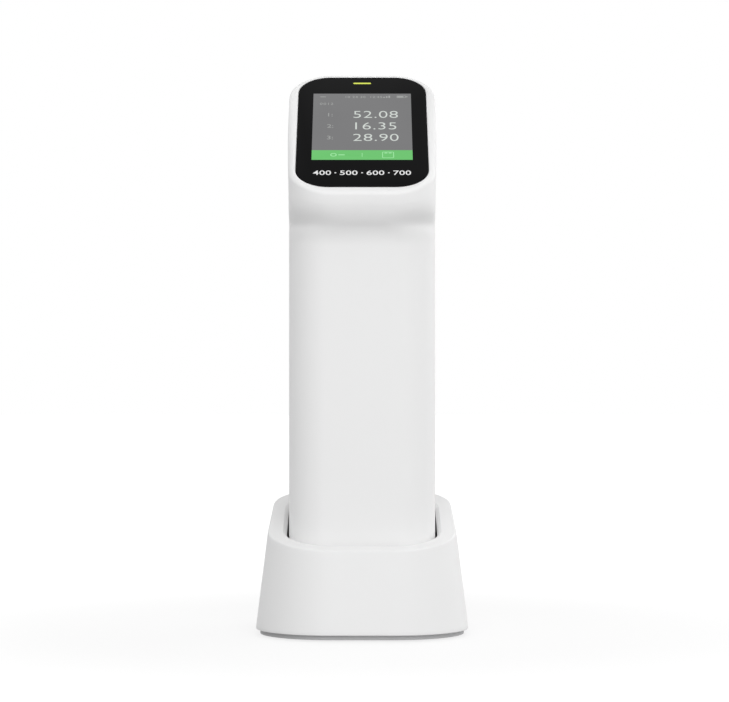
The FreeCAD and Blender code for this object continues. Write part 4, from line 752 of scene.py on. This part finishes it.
outside = column_rows(FRONT_HALF, 0.0)
front_grid = np.concatenate([outside, head_rows(FRONT_HALF), column_rows(FRONT_HALF, HOUSING_WALL)[::-1]])
band_grid = head_rows(REAR_HALF)
rows, columns = front_grid.shape[:2]
faces = [grid_faces(rows, columns, wrap_rows=True),
         grid_faces(*band_grid.shape[:2], wrap_rows=True, start=rows * columns)]
steps = np.arange(outside.shape[0])
for column in (0, columns - 1):
    climb = np.stack([steps, steps + 1, rows - 2 - steps, rows - 1 - steps], axis=-1)
    faces.append(climb * columns + column)
front_points = np.concatenate([front_grid.reshape(-1, 3), band_grid.reshape(-1, 3)])
front_housing = add_piece("front_skin", front_points, np.concatenate(faces))
soft_edges(front_housing, 0.15, 50.0)
dress(front_housing, "white_plastic", "instrument", "front_housing")
print("front housing:", len(front_housing.data.polygons), "faces")

# %% [markdown]
# ### Rear housing
#
# The rear half stops just short of the front one all along the seam, as two mouldings do. Its
# back is flat where the index finger finds the measuring button; the holes for the two buttons
# and for the data socket are cut into it, and their edges are rounded with the rest.

# %% Rear housing
BUTTON_HEIGHT, POWER_HEIGHT, PORT_HEIGHT = 123.0, 97.0, 72.0
HOLE_GAP = 0.3


def column_prism(name, outline, low, high):
    """A closed bar along y with an outline in x and z, used to cut the rear wall."""
    x, z = outline
    ends = np.stack([stacked(x, low, z), stacked(x, high, z)])
    count = x.size
    faces = [list(face) for face in grid_faces(2, count, wrap_columns=True)]
    faces += [list(range(count)), list(range(2 * count - 1, count - 1, -1))]
    return add_piece(name, ends, faces, smooth=False)


def button_outline(grow, half_width=7.0, half_height=11.0, radius=6.9):
    x, z = outline_points(FULL_RING, half_width + grow, -half_height - grow, half_height + grow,
                          radius + grow, radius + grow)
    return x, z + BUTTON_HEIGHT


def circle_outline(radius, height, count=64):
    angle = np.linspace(0.0, 2 * np.pi, count, endpoint=False)
    return radius * np.cos(angle), height + radius * np.sin(angle)


rear_seam = SEAM_Y + SEAM_GAP
rear_drop = SEAM_DROP + SEAM_GAP
lift = np.linspace(0.0, 1.0, 22)
rear_levels = np.concatenate([STRAIGHT_LEVELS, [108.0, 124.0],
                              138.0 + lift * (panel_level(rear_drop) - 138.0)])
rear_slopes = np.concatenate([np.zeros(STRAIGHT_LEVELS.size + 2), lift * PANEL_SLOPE])
outer = body_rows(REAR_HALF, 0.0, rear_seam, rear_levels, rear_slopes)
inner = body_rows(REAR_HALF, HOUSING_WALL, rear_seam, rear_levels, rear_slopes)
rear_grid = np.concatenate([outer, inner[::-1]])
rows, columns = rear_grid.shape[:2]
faces = [grid_faces(rows, columns, wrap_rows=True)]
steps = np.arange(outer.shape[0] - 1)
for column in (0, columns - 1):
    climb = np.stack([steps, steps + 1, rows - 2 - steps, rows - 1 - steps], axis=-1)
    faces.append(climb * columns + column)
rear_housing = add_piece("rear_skin", rear_grid, np.concatenate(faces))
carve(rear_housing, column_prism("button_cutter", button_outline(HOLE_GAP), 18.0, 32.0))
carve(rear_housing, column_prism("power_cutter", circle_outline(4.2 + HOLE_GAP, POWER_HEIGHT), 18.0, 32.0))
carve(rear_housing, box_cutter("port_cutter", (-4.8, 18.0, PORT_HEIGHT - 1.9), (4.8, 32.0, PORT_HEIGHT + 1.9)))
soft_edges(rear_housing, 0.15, 50.0)
dress(rear_housing, "white_plastic", "instrument", "rear_housing")
print("rear housing:", len(rear_housing.data.polygons), "faces")

# %% [markdown]
# ## Cover glass
#
# The display lies under a sheet of black printed glass, flush with the housing. A flat sheet
# would look pasted on, so its edge is ground to a small round that catches a thin line of light.

# %% Cover glass
def panel_slab(name, outline, low, high, edge_round):
    """A closed plate on the display plane: outline(grow) gives its edge, rounded at the top."""
    quarter = np.linspace(0.0, np.pi / 2, 5)
    insets = edge_round * (1 - np.cos(quarter))
    heights = high - edge_round + edge_round * np.sin(quarter)
    rings = []
    for grow, out in [(0.0, low), *zip(-insets, heights)]:
        x, along = outline(grow)
        rings.append(panel_points(x, along, out))
    points = np.array(rings)
    rows, columns = points.shape[:2]
    faces = [list(face) for face in grid_faces(rows, columns, wrap_columns=True)]
    faces.append(list(range(columns - 1, -1, -1)))
    faces.append(list(range((rows - 1) * columns, rows * columns)))
    return add_piece(name, points, faces)


def glass_outline(grow):
    return outline_points(FULL_RING, 22.1 + grow, -40.1 - grow, 34.1 + grow, 11.0 + grow,
                          11.0 + grow, SEAM_Y)


cover_glass = panel_slab("glass_sheet", glass_outline, -1.5, 0.0, 0.25)
dress(cover_glass, "black_glass", "instrument", "cover_glass")
print("glass:", len(cover_glass.data.polygons), "faces")

# %% [markdown]
# ## What the display shows
#
# A lit display is made of light, so its parts are thin plates just under the glass's gloss with
# an emissive finish: a grey screen, a green bar for the two soft keys, and the readings. The
# readings are plain numbers. Text objects are turned into meshes and laid on the slope.

# %% Lit finishes
def lit(name, color, strength=1.0):
    """A glowing layer under glass: dark body, sharp weak gloss, and a colour of its own light."""
    material = finish(name, linear(8, 8, 8), grain=200.0, tint=0.02, roughness=0.3, spread=0.02,
                      depth=0.0003, Specular_IOR_Level=0.0, Coat_Weight=0.12, Coat_Roughness=0.03)
    tree = material.node_tree
    shader = tree.nodes["Principled BSDF"]
    place = tree.nodes.new("ShaderNodeTexCoord")
    cloud = tree.nodes.new("ShaderNodeTexNoise")
    cloud.inputs["Scale"].default_value = 25.0
    ramp = tree.nodes.new("ShaderNodeValToRGB")
    ramp.color_ramp.elements[0].position = 0.3
    ramp.color_ramp.elements[1].position = 0.7
    dim = tuple(channel * 0.93 for channel in color[:3])
    ramp.color_ramp.elements[0].color = (*dim, 1.0)
    ramp.color_ramp.elements[1].color = color
    tree.links.new(place.outputs["Object"], cloud.inputs["Vector"])
    tree.links.new(cloud.outputs["Fac"], ramp.inputs["Fac"])
    tree.links.new(ramp.outputs["Color"], shader.inputs["Emission Color"])
    shader.inputs["Emission Strength"].default_value = strength
    return material


SCREEN_GREY = lit("screen_grey", linear(125, 125, 126))
SCREEN_GREEN = lit("screen_green", linear(112, 200, 115))
SCREEN_LIGHT = lit("screen_light", linear(214, 220, 215))
SCREEN_FAINT = lit("screen_faint", linear(168, 170, 168))
KEY_MARK = lit("key_mark", linear(160, 232, 165))
STATUS_GLOW = lit("status_glow", linear(220, 230, 96), 1.1)

# %% Plates, rings and numbers on the slope
def rounded_box(half_width, low, high, radius, middle=0.0):
    """Outline function of a rounded rectangle on the display plane."""
    def outline(grow):
        x, along = outline_points(FULL_RING, half_width + grow, low - grow, high + grow,
                                  radius + grow, radius + grow, (low + high) / 2)
        return x + middle, along
    return outline


def panel_ring(name, outline, width, low, high):
    """A closed frame on the display plane: an outline and the same outline drawn in by a width."""
    rings = []
    for grow, out in ((0.0, low), (0.0, high), (-width, high), (-width, low)):
        x, along = outline(grow)
        rings.append(panel_points(x, along, out))
    points = np.array(rings)
    return add_piece(name, points, grid_faces(*points.shape[:2], wrap_rows=True, wrap_columns=True),
                     smooth=False)


def numbers(name, text, x, along, size, bold=0.0, out=0.03, spacing=1.0):
    """Plain figures laid on the slope, their middle at (x, along); size is their height."""
    curve = bpy.data.curves.new(name, "FONT")
    curve.body = text
    curve.align_x = "CENTER"
    curve.align_y = "CENTER"
    curve.size = size / 0.72
    curve.space_character = spacing
    curve.offset = bold
    curve.extrude = 0.012
    curve.resolution_u = 4
    writing = bpy.data.objects.new(name, curve)
    bpy.context.scene.collection.objects.link(writing)
    bpy.context.view_layer.update()
    evaluated = writing.evaluated_get(bpy.context.evaluated_depsgraph_get())
    mesh = bpy.data.meshes.new_from_object(evaluated)
    places = np.empty(len(mesh.vertices) * 3)
    mesh.vertices.foreach_get("co", places)
    places = places.reshape(-1, 3)
    faces = [tuple(polygon.vertices) for polygon in mesh.polygons]
    middle = (places.min(axis=0) + places.max(axis=0)) / 2
    places = places - middle * np.array([1.0, 1.0, 0.0])
    bpy.data.objects.remove(writing)
    return add_piece(name, panel_points(x + places[:, 0], along + places[:, 1], out + places[:, 2]),
                     faces, smooth=False)


def joined(name, pieces):
    """Several small closed shapes as one object."""
    meshes = [piece.data for piece in pieces]
    shell = bmesh.new()
    for mesh in meshes:
        shell.from_mesh(mesh)
    mesh = bpy.data.meshes.new(name)
    shell.to_mesh(mesh)
    shell.free()
    for piece in pieces:
        bpy.data.objects.remove(piece)
    whole = bpy.data.objects.new(name, mesh)
    bpy.context.scene.collection.objects.link(whole)
    return whole


def glow(piece, material, slot="display"):
    piece.data.materials.clear()
    piece.data.materials.append(material)
    return dress(piece, slot, "instrument")


def plate(name, half_width, low, high, radius, middle, top):
    return panel_slab(name, rounded_box(half_width, low, high, radius, middle), 0.0, top, 0.004)


# %% Screen
SCREEN_HALF = 16.92
SCREEN_LOW, SCREEN_HIGH = -22.74, 22.38
BAR_TOP = -16.42
glow(plate("screen", SCREEN_HALF, BAR_TOP, SCREEN_HIGH, 0.05, 0.0, 0.012), SCREEN_GREY)
glow(plate("soft_key_bar", SCREEN_HALF, SCREEN_LOW, BAR_TOP, 0.05, 0.0, 0.014), SCREEN_GREEN)
READING_MIDDLE = 4.65
readings = [numbers("reading_%d" % row, text, READING_MIDDLE, along, 5.0, bold=-0.06, spacing=1.04)
            for row, (text, along) in enumerate([("52.08", 7.8), ("16.35", -0.1), ("28.90", -7.9)])]
glow(joined("readings", readings), SCREEN_LIGHT)
labels = [numbers("row_%d" % row, text, -10.9, along, 2.4)
          for row, (text, along) in enumerate([("1:", 7.6), ("2:", -0.2), ("3:", -8.0)])]
labels.append(numbers("clock", "10 24 30  12:45", 0.6, 20.0, 1.35, spacing=1.1))
labels.append(numbers("count", "0012", -12.3, 15.2, 1.5, spacing=1.2))
for index in range(3):
    labels.append(plate("signal_%d" % index, 0.28, 19.4, 20.1 + index * 0.4, 0.1, 7.6 + index * 0.9,
                        0.04))
labels.append(panel_ring("battery_outline", rounded_box(1.6, 19.4, 20.9, 0.3, 13.6), 0.22, 0.0, 0.04))
labels.append(plate("battery_fill", 1.0, 19.75, 20.55, 0.1, 13.3, 0.04))
labels.append(plate("battery_tip", 0.2, 19.8, 20.5, 0.1, 15.5, 0.04))
labels.append(plate("menu_mark", 1.0, 19.9, 20.3, 0.15, -13.6, 0.04))
glow(joined("small_marks", labels), SCREEN_FAINT)
key_marks = [
    panel_ring("left_mark", rounded_box(1.1, -20.6, -18.4, 1.05, -9.6), 0.4, 0.0, 0.04),
    plate("left_dash", 1.1, -19.8, -19.2, 0.2, -6.9, 0.04),
    plate("key_divider", 0.12, -20.8, -18.3, 0.1, 0.0, 0.04),
    panel_ring("right_mark", rounded_box(2.0, -21.6, -17.5, 0.5, 8.7), 0.3, 0.0, 0.04),
    plate("right_tab", 0.5, -18.6, -18.0, 0.1, 8.0, 0.04),
    plate("right_dot", 0.5, -18.6, -18.0, 0.1, 9.4, 0.04),
]
glow(joined("key_marks", key_marks), KEY_MARK)
status_bar = plate("status_bar", 3.1, 29.76 - 0.46, 29.76 + 0.46, 0.45, 0.0, 0.02)
glow(status_bar, STATUS_GLOW, "light_guide")
# The white print of the scale on the glass border glows with its own light: a painted glow in place of print
# lit by the lamps.
scale = [numbers("tick_%d" % index, str(400 + 100 * index), -13.3 + index * 8.87, -31.2, 2.9,
                 bold=0.03, spacing=1.02) for index in range(4)]
scale += [plate("dot_%d" % index, 0.3, -31.5, -30.9, 0.29, -8.87 + index * 8.87, 0.04)
          for index in range(3)]
glow(joined("printed_scale", scale), lit("printed_white_painted_glow", linear(236, 236, 236)), "black_glass")
print("display pieces ready")

# %% [markdown]
# ## Buttons on the back
#
# The measuring button is a long key, softly hollowed for the fingertip. Its grid is a set of
# rings: they climb the side, turn over a round edge and then close in over the hollow to a line
# in the middle. The power button is the same idea on a circle, with a ring-and-bar mark.

# %% Measuring and power buttons
def rear_cap(name, outline, reach, face, foot, edge_round, hollow):
    """A key on the rear wall: rings from its foot over a round edge into a dished face.

    The dish sinks by hollow * (1 - (1 - share)^2)^2, with share 0 at the edge and 1 in the middle.
    """
    quarter = np.linspace(0.0, np.pi / 2, 6)
    grows = [0.0, *(-edge_round * (1 - np.cos(quarter)))]
    depths = [foot, *(face - edge_round + edge_round * np.sin(quarter))]
    shares = np.linspace(0.0, 1.0, 14)[1:]
    grows += list(-edge_round - shares * (reach - edge_round))
    depths += list(face - hollow * (1 - (1 - shares) ** 2) ** 2)
    rings = []
    for grow, y in zip(grows, depths):
        x, z = outline(grow)
        rings.append(stacked(x, y, z))
    points = np.array(rings)
    rows, columns = points.shape[:2]
    faces = [list(face) for face in grid_faces(rows, columns, wrap_columns=True)]
    faces.append(list(range(columns - 1, -1, -1)))
    return add_piece(name, points, faces)


MEASURE_HALF_WIDTH = 7.0


def measure_outline(grow):
    """Fully round ends, so that the innermost ring closes to a line without a gap."""
    return button_outline(grow, MEASURE_HALF_WIDTH, radius=MEASURE_HALF_WIDTH)


measure_key = rear_cap("measure_key_cap", measure_outline, MEASURE_HALF_WIDTH, 26.5, 22.2, 0.55, 0.45)
dress(measure_key, "button_plastic", "measure_key", "measure_button")


POWER_RADIUS, POWER_FACE, POWER_ROUND, POWER_HOLLOW = 4.2, 25.9, 0.35, 0.2


def power_outline(grow):
    return circle_outline(POWER_RADIUS + grow, POWER_HEIGHT)


def printed_on_power(name, x, z):
    """A printed stroke that follows the dish: x and z are rows across the stroke, from end to end."""
    far = np.hypot(x, z) / (POWER_RADIUS - POWER_ROUND)
    face = POWER_FACE - POWER_HOLLOW * (1 - far ** 2) ** 2
    under, over = stacked(x, face - 0.05, z + POWER_HEIGHT), stacked(x, face + 0.015, z + POWER_HEIGHT)
    points = np.stack([under[0], over[0], over[1], under[1]])
    rows, columns = points.shape[:2]
    faces = [list(face) for face in grid_faces(rows, columns, wrap_rows=True)]
    faces += [[row * columns for row in range(rows)], [row * columns + columns - 1 for row in range(rows)]]
    return add_piece(name, points, faces, smooth=False)


power_key = rear_cap("power_key_cap", power_outline, POWER_RADIUS, POWER_FACE, 22.2, POWER_ROUND,
                     POWER_HOLLOW)
dress(power_key, "button_plastic", "power_key", "power_button")
sweep = np.linspace(np.radians(125.0), np.radians(415.0), 60)
across = np.array([[1.35], [1.65]])
ring_mark = printed_on_power("power_ring", across * np.cos(sweep), across * np.sin(sweep))
side = np.array([[-0.15], [0.15]]) * np.ones(8)
bar_mark = printed_on_power("power_bar", side, np.linspace(0.5, 2.0, 8) * np.ones((2, 1)))
power_mark = joined("power_mark", [ring_mark, bar_mark])
power_mark.data.materials.append(finish("mark_print", linear(92, 94, 97), grain=900.0, tint=0.1,
                                        roughness=0.5, depth=0.002))
dress(power_mark, "button_plastic", "power_key")
print("buttons ready")

# %% [markdown]
# ## What gives way inside the dock
#
# A coil spring stands under each charging pin, and a ring of foam under the carrier of the tile.
# They hardly show, but they have to give as the pin and the tile go down. A stack of rings could
# stand for a spring, but a real one is a single wire, so a small circle is carried along a helix
# whose end turns lie close together. The foam is a profile turned round the tile's axis, fullest
# half way up.

# %% Springs and foam
WIRE_RADIUS = 0.175
SPRING_TURNS = 5
FOAM_WALL = 5.0
FOAM_BELLY = 0.35
TOP_CLEARANCE = 0.02


def node_room(node):
    """Middle in x and y, foot, top and outer radius of a round CAD node, in millimetres."""
    low, high = (np.array(corner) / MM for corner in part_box(node))
    middle = (low + high) / 2
    return middle[0], middle[1], low[2], high[2], (high[0] - low[0]) / 2


def coil_spring(name, node):
    """Wire along a helix: it climbs slowly in its first and last turn, and evenly between them."""
    x, y, foot, top, outer = node_room(node)
    turn = np.linspace(0.0, SPRING_TURNS, 48 * SPRING_TURNS + 1)
    climb = top - TOP_CLEARANCE - foot - 2 * WIRE_RADIUS
    closed_turn = 2.1 * WIRE_RADIUS
    height = np.interp(turn, [0, 1, SPRING_TURNS - 1, SPRING_TURNS],
                       [0.0, closed_turn, climb - closed_turn, climb])[:, None]
    angle = 2 * np.pi * turn[:, None]
    section = np.linspace(0.0, 2 * np.pi, 12, endpoint=False)
    far = outer - WIRE_RADIUS + WIRE_RADIUS * np.cos(section)
    points = stacked(x + far * np.cos(angle), y + far * np.sin(angle),
                     foot + WIRE_RADIUS + height + WIRE_RADIUS * np.sin(section))
    rows, columns = points.shape[:2]
    faces = [list(face) for face in grid_faces(rows, columns, wrap_columns=True)]
    faces += [list(range(columns)), list(range((rows - 1) * columns, rows * columns))]
    return add_piece(name, points, faces)


def foam_ring(name, node):
    """Turned profile: each wall stands out by belly * (1 - (2 * share - 1)^2) of its height."""
    x, y, foot, top, outer = node_room(node)
    share = np.linspace(0.0, 1.0, 11)
    drawn_in = FOAM_BELLY * (2 * share - 1) ** 2
    climb = foot + share * (top - TOP_CLEARANCE - foot)
    far = np.concatenate([outer - drawn_in, (outer - FOAM_WALL + drawn_in)[::-1]])[:, None]
    height = np.concatenate([climb, climb[::-1]])[:, None]
    angle = np.linspace(0.0, 2 * np.pi, 96, endpoint=False)
    points = stacked(x + far * np.cos(angle), y + far * np.sin(angle), height)
    return add_piece(name, points,
                     grid_faces(*points.shape[:2], wrap_rows=True, wrap_columns=True))


for make, name, slot, node, joint in (
        (coil_spring, "left_pin_coil", "steel", "pin_spring_left", "pin_left_press"),
        (coil_spring, "right_pin_coil", "steel", "pin_spring_right", "pin_right_press"),
        (foam_ring, "tile_foam_ring", "foam", "tile_foam", "tile_press")):
    springy = dress(make(name, node), slot, "dock", node)
    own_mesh(springy)
